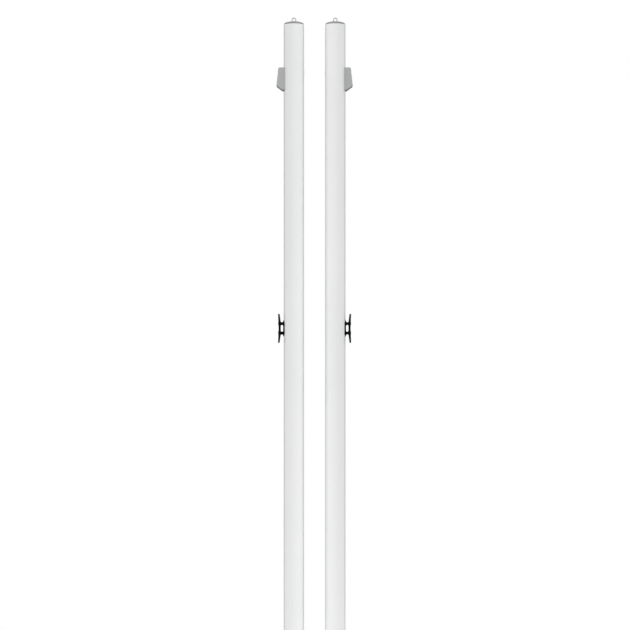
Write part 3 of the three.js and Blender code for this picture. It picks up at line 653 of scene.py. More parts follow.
# %% [markdown]
# ## Screws
#
# Countersunk screws with a low crown and a hexagon socket hold the hood and the cleat. A screw could be four
# solids joined together. One turned profile gives the shank, the cone and the crown in one go, and only the
# socket is cut, by a six-sided rod. All the screws lie along X, so one function makes them from the place of
# the head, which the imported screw's box gives.

# %% Screws
SCREW_RADIUS = 0.002
SCREW_HEAD_RADIUS = 0.0038
SCREW_HEAD_HEIGHT = 0.0022
SCREW_CROWN = 0.0005
SCREW_RIM = 0.00015
SOCKET_RADIUS = 0.00145
SOCKET_DEPTH = 0.0014
THREAD_CHAMFER = 0.0004


def set_screw(piece):
    low, high = own_box(piece)
    head = high.x - SCREW_CROWN
    crown_radius = (SCREW_HEAD_RADIUS**2 + SCREW_CROWN**2) / (2 * SCREW_CROWN)
    spread = math.degrees(math.asin(SCREW_HEAD_RADIUS / crown_radius))
    crown = arc(high.x - crown_radius, 0, crown_radius, spread, 0)
    profile = [
        (0, low.x),
        (SCREW_RADIUS - THREAD_CHAMFER, low.x),
        (SCREW_RADIUS, low.x + THREAD_CHAMFER),
        (SCREW_RADIUS, head - SCREW_HEAD_HEIGHT),
        (SCREW_HEAD_RADIUS - SCREW_RIM, head - 2 * SCREW_RIM),
        *[(radius, along) for along, radius in crown],
    ]
    at = (0, 0, own_middle(piece).z)
    screw = turned(profile, ALONG_X, at, FEW_STEPS)
    socket = rod(SOCKET_RADIUS, high.x - SOCKET_DEPTH, high.x + OVERRUN, ALONG_X, at, steps=6)
    set_on_posts(piece, cut(screw, socket))


HOOD_SCREWS = ("hood_screw_upper", "hood_screw_lower")
CLEAT_SCREWS = ("cleat_screw_upper", "cleat_screw_lower")
for screw in HOOD_SCREWS + CLEAT_SCREWS:
    set_screw(screw)


# %% [markdown]
# ## The tube
#
# A steel tube, 50 mm across with a 2 mm wall. Its top lip is rounded, which gives the fine bright line under
# the cap in the photograph. A cylinder primitive has no wall and no lip, so the tube is a ring profile turned
# about Z. It also has extra rings just above and below the hood and the cleat. The holes that are cut next
# leave odd points on the long smooth faces, which would draw faint streaks down the whole tube. With those
# rings, the streaks end under the fittings.

# %% Tube
LIP_ROUND = 0.0012
LIP_INNER = 0.0003
FOOT_CHAMFER = 0.0006

hood_low, hood_high = own_box("pulley_hood")
cleat_low, cleat_high = own_box("cleat")
stops = [cleat_low.z, cleat_high.z, hood_low.z, hood_high.z]
tube = turned(
    [
        (BORE_RADIUS, TUBE_FOOT),
        (TUBE_RADIUS - FOOT_CHAMFER, TUBE_FOOT),
        (TUBE_RADIUS, TUBE_FOOT + FOOT_CHAMFER),
        *[(TUBE_RADIUS, stop) for stop in stops],
        *arc(TUBE_RADIUS - LIP_ROUND, TUBE_TOP - LIP_ROUND, LIP_ROUND, 0, 90),
        *arc(BORE_RADIUS + LIP_INNER, TUBE_TOP - LIP_INNER, LIP_INNER, 90, 180),
        *[(BORE_RADIUS, stop) for stop in reversed(stops)],
    ],
    steps=2 * TURN_STEPS,
)
print(f"tube: {TUBE_TOP - TUBE_FOOT:.4f} m long, with {len(tube.data.vertices)} points")

# %% [markdown]
# ## The tube's openings
#
# Behind the hood, a slot with rounded corners lets the pulley reach into the tube. On the other side is the
# round hole for the cord's inlet. Four holes hold rivet nuts, which take the screws, and each is sunk a
# little for the nut's rim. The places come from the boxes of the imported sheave, axle, inlet and screws.

# %% Slot and holes
SLOT_CORNER = 0.004
SLOT_ROOM = 0.0006
SLOT_SIDE_ROOM = 0.0007
NUT_HOLE_RADIUS = 0.0033
NUT_RIM = 0.0009
NUT_RIM_DEPTH = 0.001
INLET_SLEEVE_RADIUS = 0.0053

sheave_low, sheave_high = own_box("pulley_sheave")
axle_low, axle_high = own_box("pulley_axle")
inlet_low, inlet_high = own_box("cord_inlet")
INLET_HEIGHT = (inlet_low.z + inlet_high.z) / 2


def nut_hole(screw):
    """The hole for a screw's rivet nut, sunk a little for the nut's rim."""
    profile = [
        (0, 0),
        (NUT_HOLE_RADIUS, 0),
        (NUT_HOLE_RADIUS, TUBE_RADIUS - NUT_RIM_DEPTH),
        (NUT_HOLE_RADIUS + NUT_RIM, TUBE_RADIUS),
        (NUT_HOLE_RADIUS + NUT_RIM, TUBE_RADIUS + OVERRUN),
        (0, TUBE_RADIUS + OVERRUN),
    ]
    return turned(profile, ALONG_X, (0, 0, own_middle(screw).z), FEW_STEPS)


def rounded_box(half_width, low, high, radius):
    """The outline of a rectangle about the middle line, with rounded corners."""
    return outline(
        (half_width, low, radius),
        (half_width, high, radius),
        (-half_width, high, radius),
        (-half_width, low, radius),
    )


slot_outline = rounded_box(
    axle_high.y + SLOT_SIDE_ROOM, sheave_low.z - SLOT_ROOM, sheave_high.z + SLOT_ROOM, SLOT_CORNER
)
slot = drawn_out(slot_outline, 0, TUBE_RADIUS + OVERRUN, across="X")
at_inlet = (0, 0, INLET_HEIGHT)
inlet_hole = rod(
    INLET_SLEEVE_RADIUS + SEAT_GAP, -TUBE_RADIUS - OVERRUN, 0, ALONG_X, at_inlet, FEW_STEPS
)
nut_holes = [nut_hole(screw) for screw in HOOD_SCREWS + CLEAT_SCREWS]
set_on_posts("tube", cut(tube, slot, inlet_hole, *nut_holes))

# %% [markdown]
# ## Spigots with ribs
#
# The cap and the foot plug are pressed into the tube. A spigot that filled the bore would jam, because tubes
# vary a little, so real plugs have a looser spigot with a few ribs that press on the bore. One helper makes
# the ribs of both, as thin blocks that are turned round the axis and joined on.

# %% Ribs
SPIGOT_EASE = 0.0008
SPIGOT_WALL = 0.0024
SPIGOT_CHAMFER = 0.001
RIB_WIDTH = 0.0016
RIBS = 4

spigot_radius = BORE_RADIUS - SPIGOT_EASE
spigot_inside = spigot_radius - SPIGOT_WALL


def spigot_ribs(low, high):
    """Ribs from inside the spigot's wall to just short of the bore."""
    reach = BORE_RADIUS - SEAT_GAP
    root = spigot_radius - SPIGOT_EASE
    ribs = []
    section = [(root, low), (reach, low), (reach, high), (root, high)]
    for i in range(RIBS):
        rib = drawn_out(section, -RIB_WIDTH / 2, RIB_WIDTH / 2)
        rib.data.transform(Matrix.Rotation(2 * math.pi * i / RIBS, 4, "Z"))
        ribs.append(rib)
    return ribs


print(f"spigot: {spigot_radius:.4f} m in radius, in a bore of {BORE_RADIUS:.4f} m")

# %% [markdown]
# ## The cap's dome
#
# The cap has a low dome, one millimetre smaller than the tube all round, so a line of shade shows below its
# rim. The dome could be a flattened sphere cut in half, but its rim and its recess would still have to be
# added. Here it is only a run of points for the cap's profile: a quarter of an ellipse, from the rim in to
# the round recess that seats the eye bolt.

# %% Dome
CAP_INSET = 0.001
CAP_EDGE = 0.002
CAP_RECESS_RADIUS = 0.007
CAP_RECESS_ROUND = 0.0005
DOME_STEPS = 24

cap_low, cap_high = own_box("top_cap")
cap_seat = TUBE_TOP + SEAT_GAP


def dome(edge_radius, edge_height, peak_height, recess_radius):
    """A quarter of an ellipse from the rim in to the recess, as if it went on to its peak."""
    last = math.acos(recess_radius / edge_radius)
    angles = [last * i / DOME_STEPS for i in range(DOME_STEPS + 1)]
    rise = peak_height - edge_height
    return [(edge_radius * math.cos(angle), edge_height + rise * math.sin(angle)) for angle in angles]


edge_radius = TUBE_RADIUS - CAP_INSET
dome_peak = cap_seat + CAP_EDGE + (cap_high.z - cap_seat - CAP_EDGE) / math.sin(
    math.acos(CAP_RECESS_RADIUS / edge_radius)
)
dome_points = dome(edge_radius, cap_seat + CAP_EDGE, dome_peak, CAP_RECESS_RADIUS + CAP_RECESS_ROUND)
print(f"dome: rises {dome_points[-1][1] - cap_seat:.4f} m above the tube")

# %% [markdown]
# ## The cap
#
# The whole cap is one turned profile: the boss under the recess, the spigot, the rim and the dome, with small
# arcs where the dome meets the rim and the recess. Sharp corners there would catch no light, and the fine
# bright lines on the real cap come from just those roundings. The ribs are joined on last.

# %% Cap
CAP_EDGE_ROUND = 0.0004
CAP_RECESS_DEPTH = 0.002
CAP_BOSS_RADIUS = 0.0065
CAP_BOSS_DEPTH = 0.006
EYE_HOLE_RADIUS = 0.0027

recess_top = dome_points[-1][1]
recess_floor = cap_high.z - CAP_RECESS_DEPTH
cap = turned(
    [
        (EYE_HOLE_RADIUS, cap_seat - CAP_BOSS_DEPTH),
        (CAP_BOSS_RADIUS, cap_seat - CAP_BOSS_DEPTH),
        (CAP_BOSS_RADIUS, cap_seat + CAP_EDGE / 2),
        (spigot_inside, cap_seat + CAP_EDGE / 2),
        (spigot_inside, cap_low.z),
        (spigot_radius - SPIGOT_CHAMFER, cap_low.z),
        (spigot_radius, cap_low.z + SPIGOT_CHAMFER),
        (spigot_radius, cap_seat),
        *arc(edge_radius - CAP_EDGE_ROUND, cap_seat + CAP_EDGE_ROUND, CAP_EDGE_ROUND, -90, 0),
        *dome_points,
        *arc(CAP_RECESS_RADIUS + CAP_RECESS_ROUND, recess_top - CAP_RECESS_ROUND, CAP_RECESS_ROUND, 90, 180),
        (CAP_RECESS_RADIUS, recess_floor),
        (EYE_HOLE_RADIUS, recess_floor),
    ]
)
cap_ribs = spigot_ribs(cap_low.z + 2 * SPIGOT_CHAMFER, cap_seat - SPIGOT_CHAMFER)
set_on_posts("top_cap", join(cap, *cap_ribs))

# %% [markdown]
# ## The foot plug
#
# A plug closes the end that stands in the floor sleeve, so that no grit gets in and the steel doesn't scrape.
# It is made like the cap, the other way up. Its edge has a larger rounding, so that the post finds its way
# into the sleeve.

# %% Foot plug
PLUG_FLANGE = 0.003
PLUG_ROUND = 0.0012

plug_low, plug_high = own_box("foot_plug")
plug_radius = plug_high.y
plug = turned(
    [
        (0, plug_low.z),
        *arc(plug_radius - PLUG_ROUND, plug_low.z + PLUG_ROUND, PLUG_ROUND, -90, 0),
        (plug_radius, plug_low.z + PLUG_FLANGE),
        (spigot_radius, plug_low.z + PLUG_FLANGE),
        (spigot_radius, plug_high.z - SPIGOT_CHAMFER),
        (spigot_radius - SPIGOT_CHAMFER, plug_high.z),
        (spigot_inside, plug_high.z),
        (spigot_inside, plug_low.z + PLUG_FLANGE),
        (0, plug_low.z + PLUG_FLANGE),
    ]
)
plug_ribs = spigot_ribs(TUBE_FOOT + SPIGOT_CHAMFER, plug_high.z - 2 * SPIGOT_CHAMFER)
set_on_posts("foot_plug", join(plug, *plug_ribs))

# %% [markdown]
# ## The eye bolt
#
# The net's top cord is tied to this eye. A forged eye bolt flows from its collar into the ring with a smooth
# neck. The ring is a circle turned about Y and the shank a turned profile, and joining them leaves a crease.
# That crease could be bevelled by hand, but the edge runs round in space and a bevel tears there. Instead the
# solid is remade on a fine grid of voxels and smoothed a few times, which turns the crease into the neck. The
# right eye stopped a little short of square when it was screwed down, as the photograph shows, so it is
# turned about the post.

# %% Eye bolt
EYE_RADIUS = 0.00625
EYE_WIRE_RADIUS = 0.0015
EYE_COLLAR_RADIUS = 0.0035
EYE_COLLAR_HEIGHT = 0.0012
EYE_SHANK_RADIUS = 0.0025
EYE_TURN = {"left": 0, "right": math.radians(20)}
EYE_VOXEL = 0.00016
EYE_SMOOTH = math.radians(80)


def softened(shape, voxel, passes):
    """The solid remade on a grid of voxels, with all its edges rounded by smoothing."""
    remesh = shape.modifiers.new("remesh", "REMESH")
    remesh.mode = "VOXEL"
    remesh.voxel_size = voxel
    smooth = shape.modifiers.new("smooth", "SMOOTH")
    smooth.iterations = passes
    return settled(shape)


eye_low, eye_high = own_box("eye_bolt")
eye_centre = eye_high.z - EYE_RADIUS
eye_foot = eye_centre - EYE_RADIUS
ring = turned(circle(EYE_RADIUS - EYE_WIRE_RADIUS, 0, EYE_WIRE_RADIUS), ALONG_Y, (0, 0, eye_centre))
shank = turned(
    [
        (0, eye_low.z),
        (EYE_SHANK_RADIUS - THREAD_CHAMFER, eye_low.z),
        (EYE_SHANK_RADIUS, eye_low.z + THREAD_CHAMFER),
        (EYE_SHANK_RADIUS, eye_foot),
        (EYE_COLLAR_RADIUS, eye_foot),
        (EYE_COLLAR_RADIUS, eye_foot + EYE_COLLAR_HEIGHT / 2),
        (EYE_WIRE_RADIUS, eye_foot + EYE_COLLAR_HEIGHT),
        (0, eye_foot + EYE_COLLAR_HEIGHT),
    ]
)
eye_bolt = softened(join(ring, shank), EYE_VOXEL, passes=4)
set_on_posts("eye_bolt", eye_bolt, EYE_SMOOTH, turns=EYE_TURN)

# %% [markdown]
# ## The pulley hood's measures
#
# This is the piece that takes the most skill. It is one moulding that keeps rain and fingers off the pulley:
# a cover that leans out on the way down, closed on top and open at a slanted mouth below, with a flat tab
# under the mouth. Two cheeks inside it reach through the slot in the tube and carry the axle.
#
# Its outside and its inside both follow the lean of the cover, so a function gives the cover's distance from
# the tube at any height, and nothing can come apart when the lean is changed.

# %% Measures of the hood
HOOD_LEAN = math.radians(6.3)
HOOD_WALL = 0.002
COVER_AT_AXLE = 0.041
HOOD_TAB = 0.0032
HOOD_MOUTH_RISE = 0.011
HOOD_BLOCK = 0.01
HOOD_RIM = 0.002
HOOD_CORNER = 0.0034
HOOD_LIP = 0.0026
CHEEK = 0.002
CHEEK_SIDE_ROOM = 0.0005
SHEAVE_HEADROOM = 0.0015

sheave_radius = (sheave_high.z - sheave_low.z) / 2
cheek_inner = sheave_high.y + CHEEK_SIDE_ROOM
cheek_outer = cheek_inner + CHEEK
hood_half = hood_high.y
tab_face = TUBE_RADIUS + HOOD_TAB
tab_top = AXLE.z - sheave_radius - SHEAVE_HEADROOM
inner_end = AXLE.x


def cover_reach(height):
    """How far the outside of the cover is from the tube's axis."""
    return COVER_AT_AXLE - (height - AXLE.z) * math.tan(HOOD_LEAN)


def inside_at(height):
    """How far its inside is."""
    return cover_reach(height) - HOOD_WALL


print(f"hood: {hood_high.z - hood_low.z:.4f} m tall, {2 * hood_half:.4f} m wide")

# %% [markdown]
# ## The hood's outside and hollows
#
# The hood could be modelled as a box with its faces pulled about. Drawing out its side outline is exact, and
# the rounded rims come with it. The tube's room is cut from its back. Then two side hollows and the lane for
# the cord are cut up into it from the mouth, as the cores of the mould would do.

# %% Outside and hollows
def tube_space(radius, low, high):
    """The room that the tube takes, a little larger, to shape what sits on it."""
    return rod(radius, low, high, ALONG_Z, (0, 0, 0), steps=2 * TURN_STEPS)


lip = hood_low.z + HOOD_MOUTH_RISE
below = hood_low.z - OVERRUN
hollow_top = hood_high.z - HOOD_WALL
lane_top = hood_high.z - HOOD_BLOCK
hood = drawn_out(
    outline(
        (inner_end, hood_low.z),
        (tab_face, hood_low.z),
        (cover_reach(lip), lip, HOOD_LIP),
        (cover_reach(hood_high.z), hood_high.z, HOOD_CORNER),
        (inner_end, hood_high.z),
    ),
    -hood_half,
    hood_half,
    rim=HOOD_RIM,
)
hollow = outline(
    (inner_end, below),
    (inside_at(below), below),
    (inside_at(hollow_top), hollow_top, HOOD_WALL),
    (inner_end, hollow_top),
)
lane = outline(
    (inner_end, tab_top),
    (tab_face, tab_top),
    (tab_face, below),
    (inside_at(below), below),
    (inside_at(lane_top), lane_top, HOOD_WALL),
    (inner_end, lane_top),
)
cut(
    hood,
    tube_space(SEAT_RADIUS, below - OVERRUN, hood_high.z + OVERRUN),
    drawn_out(hollow, cheek_outer, hood_half - HOOD_WALL),
    drawn_out(hollow, HOOD_WALL - hood_half, -cheek_outer),
    drawn_out(lane, -cheek_inner, cheek_inner),
)
print(f"hood with its hollows: {len(hood.data.polygons)} faces")

# %% [markdown]
# ## The hood's cheeks, holes and edges
#
# The cheeks are joined on after the hollows are cut, because they stand in them, and the holes for the axle
# and the screws come last. A moulding has no knife edges: where walls meet, the mould leaves a small fillet.
# Bevelling every edge of a cut shape by hand is fragile, so this piece too is remade on voxels and smoothed,
# which rounds its inner and outer edges alike, by about as much as a mould does.

# %% Cheeks, holes and edges
CHEEK_NOSE = 0.0065
CHEEK_NOSE_ROUND = 0.0058
AXLE_RADIUS = 0.0025
HOOD_VOXEL = 0.00035
REMADE_SMOOTH = math.radians(60)


def screw_hole(piece):
    """The clearance hole and countersink that a screw needs."""
    low, high = own_box(piece)
    head = high.x - SCREW_CROWN
    profile = [
        (0, low.x),
        (SCREW_RADIUS + SEAT_GAP, low.x),
        (SCREW_RADIUS + SEAT_GAP, head - SCREW_HEAD_HEIGHT - SEAT_GAP),
        (SCREW_HEAD_RADIUS + SEAT_GAP, head),
        (SCREW_HEAD_RADIUS + SEAT_GAP, head + OVERRUN),
        (0, head + OVERRUN),
    ]
    return turned(profile, ALONG_X, (0, 0, own_middle(piece).z), FEW_STEPS)


cheek_root = sheave_radius + SLOT_ROOM - SLOT_CORNER
cheek = outline(
    (tab_face, AXLE.z - cheek_root),
    (tab_face, AXLE.z + cheek_root),
    (AXLE.x - CHEEK_NOSE, AXLE.z + CHEEK_NOSE, CHEEK_NOSE_ROUND),
    (AXLE.x - CHEEK_NOSE, AXLE.z - CHEEK_NOSE, CHEEK_NOSE_ROUND),
)
join(hood, drawn_out(cheek, cheek_inner, cheek_outer), drawn_out(cheek, -cheek_outer, -cheek_inner))
hole_half = cheek_outer + OVERRUN
at_axle = (AXLE.x, 0, AXLE.z)
axle_hole = rod(AXLE_RADIUS + SEAT_GAP, -hole_half, hole_half, ALONG_Y, at_axle, FEW_STEPS)
cut(hood, axle_hole, *[screw_hole(screw) for screw in HOOD_SCREWS])
set_on_posts("pulley_hood", softened(hood, HOOD_VOXEL, passes=5), REMADE_SMOOTH)

# %% [markdown]
# ## The sheave
#
# The sheave is the grooved wheel that the cord runs over. A torus could cut its groove, but that leaves
# slivers where it meets the rim. Half an ellipse in the turned profile makes the groove without a cut. The
# web between hub and rim is thinner and has round holes, to save plastic and weight. The sheave turns freely,
# so it rides on its own body and everything else rides on the posts.

# %% Sheave
GROOVE_RADIUS = 0.012
SHEAVE_EDGE = 0.0006
SHEAVE_WEB = 0.004
SHEAVE_RIM = 0.0022
SHEAVE_HUB = 0.005
SHEAVE_BORE = 0.00262
SHEAVE_HOLES = 5
SHEAVE_HOLE = 0.0018
SHEAVE_HOLE_STEPS = 32

sheave_half = sheave_high.y
rim_radius = GROOVE_RADIUS - SHEAVE_RIM
groove_side = sheave_half - 2 * SHEAVE_EDGE
groove = [
    (sheave_radius - (sheave_radius - GROOVE_RADIUS) * down, groove_side * over)
    for down, over in arc(0, 0, 1, -90, 90)
]
face = [
    (sheave_radius, sheave_half - SHEAVE_EDGE),
    (sheave_radius - SHEAVE_EDGE, sheave_half),
    (rim_radius, sheave_half),
    (rim_radius, SHEAVE_WEB / 2),
    (SHEAVE_HUB, SHEAVE_WEB / 2),
    (SHEAVE_HUB, sheave_half),
    (SHEAVE_BORE, sheave_half),
]
other_face = [(radius, -height) for radius, height in reversed(face)]
sheave = turned(other_face + groove + face, ALONG_Y, AXLE)
web_middle = (SHEAVE_HUB + rim_radius) / 2
web_holes = []
for i in range(SHEAVE_HOLES):
    angle = 2 * math.pi * i / SHEAVE_HOLES
    centre = AXLE + Vector((web_middle * math.cos(angle), 0, web_middle * math.sin(angle)))
    web_holes.append(rod(SHEAVE_HOLE, -SHEAVE_WEB, SHEAVE_WEB, ALONG_Y, centre, SHEAVE_HOLE_STEPS))
set_on_posts("pulley_sheave", cut(sheave, *web_holes))

# %% [markdown]
# ## The axle
#
# The axle is a turned pin. Its head stops it on one side of the hood's cheeks, and on the other side an open
# ring snaps into a groove. All of that is in one profile, so there is nothing to join or cut.

# %% Axle
AXLE_HEAD_RADIUS = 0.004
AXLE_HEAD_ROUND = 0.0004
CLIP_GROOVE = 0.0006
CLIP_ROOM = 0.00012

head_face = -cheek_outer - SEAT_GAP
clip_low, clip_high = own_box("axle_clip")
pin = turned(
    [
        (0, axle_low.y),
        *arc(AXLE_HEAD_RADIUS - AXLE_HEAD_ROUND, axle_low.y + AXLE_HEAD_ROUND, AXLE_HEAD_ROUND, -90, 0),
        (AXLE_HEAD_RADIUS, head_face),
        (AXLE_RADIUS, head_face),
        (AXLE_RADIUS, clip_low.y - CLIP_ROOM),
        (AXLE_RADIUS - CLIP_GROOVE, clip_low.y - CLIP_ROOM),
        (AXLE_RADIUS - CLIP_GROOVE, clip_high.y + CLIP_ROOM),
        (AXLE_RADIUS, clip_high.y + CLIP_ROOM),
        (AXLE_RADIUS, axle_high.y - THREAD_CHAMFER),
        (AXLE_RADIUS - THREAD_CHAMFER, axle_high.y),
        (0, axle_high.y),
    ],
    ALONG_Y,
    at_axle,
    FEW_STEPS,
)
set_on_posts("pulley_axle", pin)

# %% [markdown]
# ## The axle's clip
#
# The ring is stamped from spring steel, with a mouth that lets it open over the pin. A ring cut in two would
# do, but its outline is simpler: one arc out and one arc back, drawn out to the thickness of the sheet.

# %% Clip
CLIP_MOUTH = 21

clip_radius = (clip_high.z - clip_low.z) / 2
clip_inner = AXLE_RADIUS - CLIP_GROOVE + CLIP_ROOM
clip = drawn_out(
    [
        (AXLE.x + x, AXLE.z + z)
        for x, z in arc(0, 0, clip_radius, CLIP_MOUTH, 360 - CLIP_MOUTH)
        + arc(0, 0, clip_inner, 360 - CLIP_MOUTH, CLIP_MOUTH)
    ],
    clip_low.y,
    clip_high.y,
)
set_on_posts("axle_clip", clip)

# %% [markdown]
# ## Pads that hug the tube
#
# Two pieces sit on the round tube with a pad of one thickness: the cord's inlet and the cleat. Bending a flat
# pad round the tube would stretch its outline. Instead the outline is drawn out as a block, the block is
# trimmed by a round bar a little larger than the tube, and the tube's own room is cut away.

# %% Saddle
def common(shape, *tools):
    return with_tools(shape, tools, "INTERSECT")


def saddle(points, thickness, low, high):
    """A pad of one thickness that hugs the tube's outer side, with an outline in the Y-Z plane."""
    pad = drawn_out(points, BORE_RADIUS / 2, TUBE_RADIUS + OVERRUN, across="X")
    common(pad, tube_space(SEAT_RADIUS + thickness, low - OVERRUN, high + OVERRUN))
    return cut(pad, tube_space(SEAT_RADIUS, low - 2 * OVERRUN, high + 2 * OVERRUN))


# %% [markdown]
# ## The cord inlet
#
# On the side that faces the net, a white nylon bush lines the hole where the cord goes in, because a bare
# steel edge would saw through it. Its flange is only half a millimetre thick and hugs the tube, so it hardly
# shows from the front. It is joined from a saddle and a turned sleeve, and cut by a turned passage whose end
# flares. It is shaped on the outer side, like the other pieces, and then turned to the inner side.

# %% Cord inlet
INLET_BORE = 0.004
INLET_FLANGE = 0.0018
INLET_FLANGE_THICKNESS = 0.0005
INLET_MOUTH_ROUND = 0.001
INLET_BARB = 0.0007
INLET_BARB_LENGTH = 0.0024
INLET_VOXEL = 0.00018

mouth = SEAT_RADIUS + INLET_FLANGE_THICKNESS
flange_radius = INLET_SLEEVE_RADIUS + INLET_FLANGE
barb_radius = INLET_SLEEVE_RADIUS + INLET_BARB
barb = math.sqrt(BORE_RADIUS**2 - barb_radius**2) - SEAT_GAP
flange = saddle(
    circle(0, INLET_HEIGHT, flange_radius),
    INLET_FLANGE_THICKNESS,
    INLET_HEIGHT - flange_radius,
    INLET_HEIGHT + flange_radius,
)
sleeve = turned(
    [
        (0, barb - INLET_BARB_LENGTH),
        (INLET_SLEEVE_RADIUS, barb - INLET_BARB_LENGTH),
        (barb_radius, barb),
        (INLET_SLEEVE_RADIUS, barb),
        (INLET_SLEEVE_RADIUS, mouth),
        (0, mouth),
    ],
    ALONG_X,
    at_inlet,
)
common(sleeve, tube_space(mouth, INLET_HEIGHT - flange_radius, INLET_HEIGHT + flange_radius))
flare = INLET_BORE + INLET_MOUTH_ROUND
passage = turned(
    [
        (0, 0),
        (INLET_BORE, 0),
        *arc(flare, mouth - INLET_MOUTH_ROUND, INLET_MOUTH_ROUND, 180, 90),
        (flare, mouth + OVERRUN),
        (0, mouth + OVERRUN),
    ],
    ALONG_X,
    at_inlet,
)
inlet = softened(cut(join(flange, sleeve), passage), INLET_VOXEL, passes=2)
inlet.data.transform(Matrix.Rotation(math.pi, 4, "Z"))
set_on_posts("cord_inlet", inlet, REMADE_SMOOTH)

# %% [markdown]
# ## The cleat's measures
#
# The net's cord is wound on this black moulding: a bar with two horns on two legs, with a window between
# them, on a pad that hugs the tube. A sculpted block could look right too, but its sizes would be a guess. So
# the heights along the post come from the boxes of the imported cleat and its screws, and the distances from
# the tube are added up from the room for the cord and the thickness of the bar.

# %% Measures of the cleat
CLEAT_HALF = (cleat_high.z - cleat_low.z) / 2
CLEAT_BAR = 0.0052
CLEAT_CORD_ROOM = 0.0074
CLEAT_TIP = 0.0039
CLEAT_TIP_LIFT = 0.0015
CLEAT_LEG = 0.0068
CLEAT_PAD_THICKNESS = 0.0013
CLEAT_RIM = 0.0015
CLEAT_NECK = 0.0028

screw_rise = own_middle("cleat_screw_upper").z - CLEAT_HEIGHT
leg_out = screw_rise + CLEAT_LEG / 2
leg_in = screw_rise - CLEAT_LEG / 2
bar_in = TUBE_RADIUS + CLEAT_CORD_ROOM
cleat_face = bar_in + CLEAT_BAR
tip_out = cleat_face + CLEAT_TIP_LIFT
tip_in = tip_out - CLEAT_TIP
pad_face = SEAT_RADIUS + CLEAT_PAD_THICKNESS
foot_end = leg_out + CLEAT_NECK + CLEAT_RIM / 2
print(f"cleat: {2 * CLEAT_HALF:.4f} m long, its legs {2 * screw_rise:.4f} m apart")

# %% [markdown]
# ## The cleat's outlines
#
# Seen from the side, the cleat has one clear outline, and seen from the front its horns taper. The lower half
# of the side view is the upper half mirrored, so only one half is written out. The back of the bar and its
# two edges are arcs of a large radius, which keeps it from looking sawn.

# %% Outlines of the cleat
CLEAT_WIDTH = 0.011
CLEAT_TIP_WIDTH = 0.0074
CLEAT_BACK_ROUND = 0.072
CLEAT_SIDE_TIP_ROUND = 0.00183
CLEAT_FRONT_TIP_ROUND = 0.0035

def at_cleat(points):
    """The points of an outline about the cleat's middle, raised to its height on the post."""
    return [(across, CLEAT_HEIGHT + up) for across, up in points]


upper_half = [
    (tip_out, CLEAT_HALF, CLEAT_SIDE_TIP_ROUND),
    (tip_in, CLEAT_HALF, CLEAT_SIDE_TIP_ROUND),
    (bar_in, leg_out, CLEAT_NECK),
    (pad_face, leg_out, CLEAT_NECK),
    (pad_face, foot_end),
    (BORE_RADIUS, foot_end),
]
lower_half = [(across, -up, *rounding) for across, up, *rounding in reversed(upper_half)]
side_outline = outline(*lower_half, (cleat_face, 0, CLEAT_BACK_ROUND), *upper_half)
window = outline(
    (pad_face, -leg_in, CLEAT_NECK),
    (bar_in, -leg_in, CLEAT_NECK),
    (bar_in, leg_in, CLEAT_NECK),
    (pad_face, leg_in, CLEAT_NECK),
)
front_outline = outline(
    (CLEAT_WIDTH / 2, 0, CLEAT_BACK_ROUND),
    (CLEAT_TIP_WIDTH / 2, CLEAT_HALF, CLEAT_FRONT_TIP_ROUND),
    (-CLEAT_TIP_WIDTH / 2, CLEAT_HALF, CLEAT_FRONT_TIP_ROUND),
    (-CLEAT_WIDTH / 2, 0, CLEAT_BACK_ROUND),
    (-CLEAT_TIP_WIDTH / 2, -CLEAT_HALF, CLEAT_FRONT_TIP_ROUND),
    (CLEAT_TIP_WIDTH / 2, -CLEAT_HALF, CLEAT_FRONT_TIP_ROUND),
)
print(f"points in its outlines: side {len(side_outline)}, window {len(window)}, front {len(front_outline)}")

# %% [markdown]
# ## The cleat
#
# The bar is drawn out from the side outline with rounded rims, and trimmed by the front outline, which keeps
# both true. The window and the tube's room are cut, then a boss round each screw and the pad are joined on,
# and the screw holes come last. Remaking it on voxels gives the soft edges of the real moulding.

# %% Cleat
CLEAT_PAD_LENGTH = 0.0395
CLEAT_PAD_ROUND = 0.008
CLEAT_BOSS_RADIUS = 0.0048
CLEAT_BOSS_RISE = 0.0011
CLEAT_BOSS_STEPS = 64
CLEAT_VOXEL = 0.0003


def boss(height):
    """The round bulge on the bar above a screw."""
    face = cleat_face + CLEAT_BOSS_RISE
    profile = [
        (0, bar_in + CLEAT_RIM),
        (CLEAT_BOSS_RADIUS, bar_in + CLEAT_RIM),
        (CLEAT_BOSS_RADIUS, face - CLEAT_BOSS_RISE / 2),
        (CLEAT_BOSS_RADIUS - CLEAT_BOSS_RISE / 2, face),
        (0, face),
    ]
    return turned(profile, ALONG_X, (0, 0, CLEAT_HEIGHT + height), CLEAT_BOSS_STEPS)


cleat = drawn_out(at_cleat(side_outline), -CLEAT_WIDTH / 2, CLEAT_WIDTH / 2, rim=CLEAT_RIM)
common(cleat, drawn_out(at_cleat(front_outline), 0, tip_out + OVERRUN, across="X"))
cut(
    cleat,
    drawn_out(at_cleat(window), -CLEAT_WIDTH, CLEAT_WIDTH),
    tube_space(SEAT_RADIUS, cleat_low.z, cleat_high.z),
)
pad_outline = rounded_box(cleat_high.y, -CLEAT_PAD_LENGTH / 2, CLEAT_PAD_LENGTH / 2, CLEAT_PAD_ROUND)
pad = saddle(at_cleat(pad_outline), CLEAT_PAD_THICKNESS, cleat_low.z, cleat_high.z)
join(cleat, pad, boss(screw_rise), boss(-screw_rise))
cut(cleat, *[screw_hole(screw) for screw in CLEAT_SCREWS])
set_on_posts("cleat", softened(cleat, CLEAT_VOXEL, passes=4), REMADE_SMOOTH)

# %% [markdown]
# ## Pieces that stay as they are
#
# The rivet nuts, and the washer and nut under the cap, are shut up inside the tube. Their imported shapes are
# right, so they keep them and only get the plated finish.

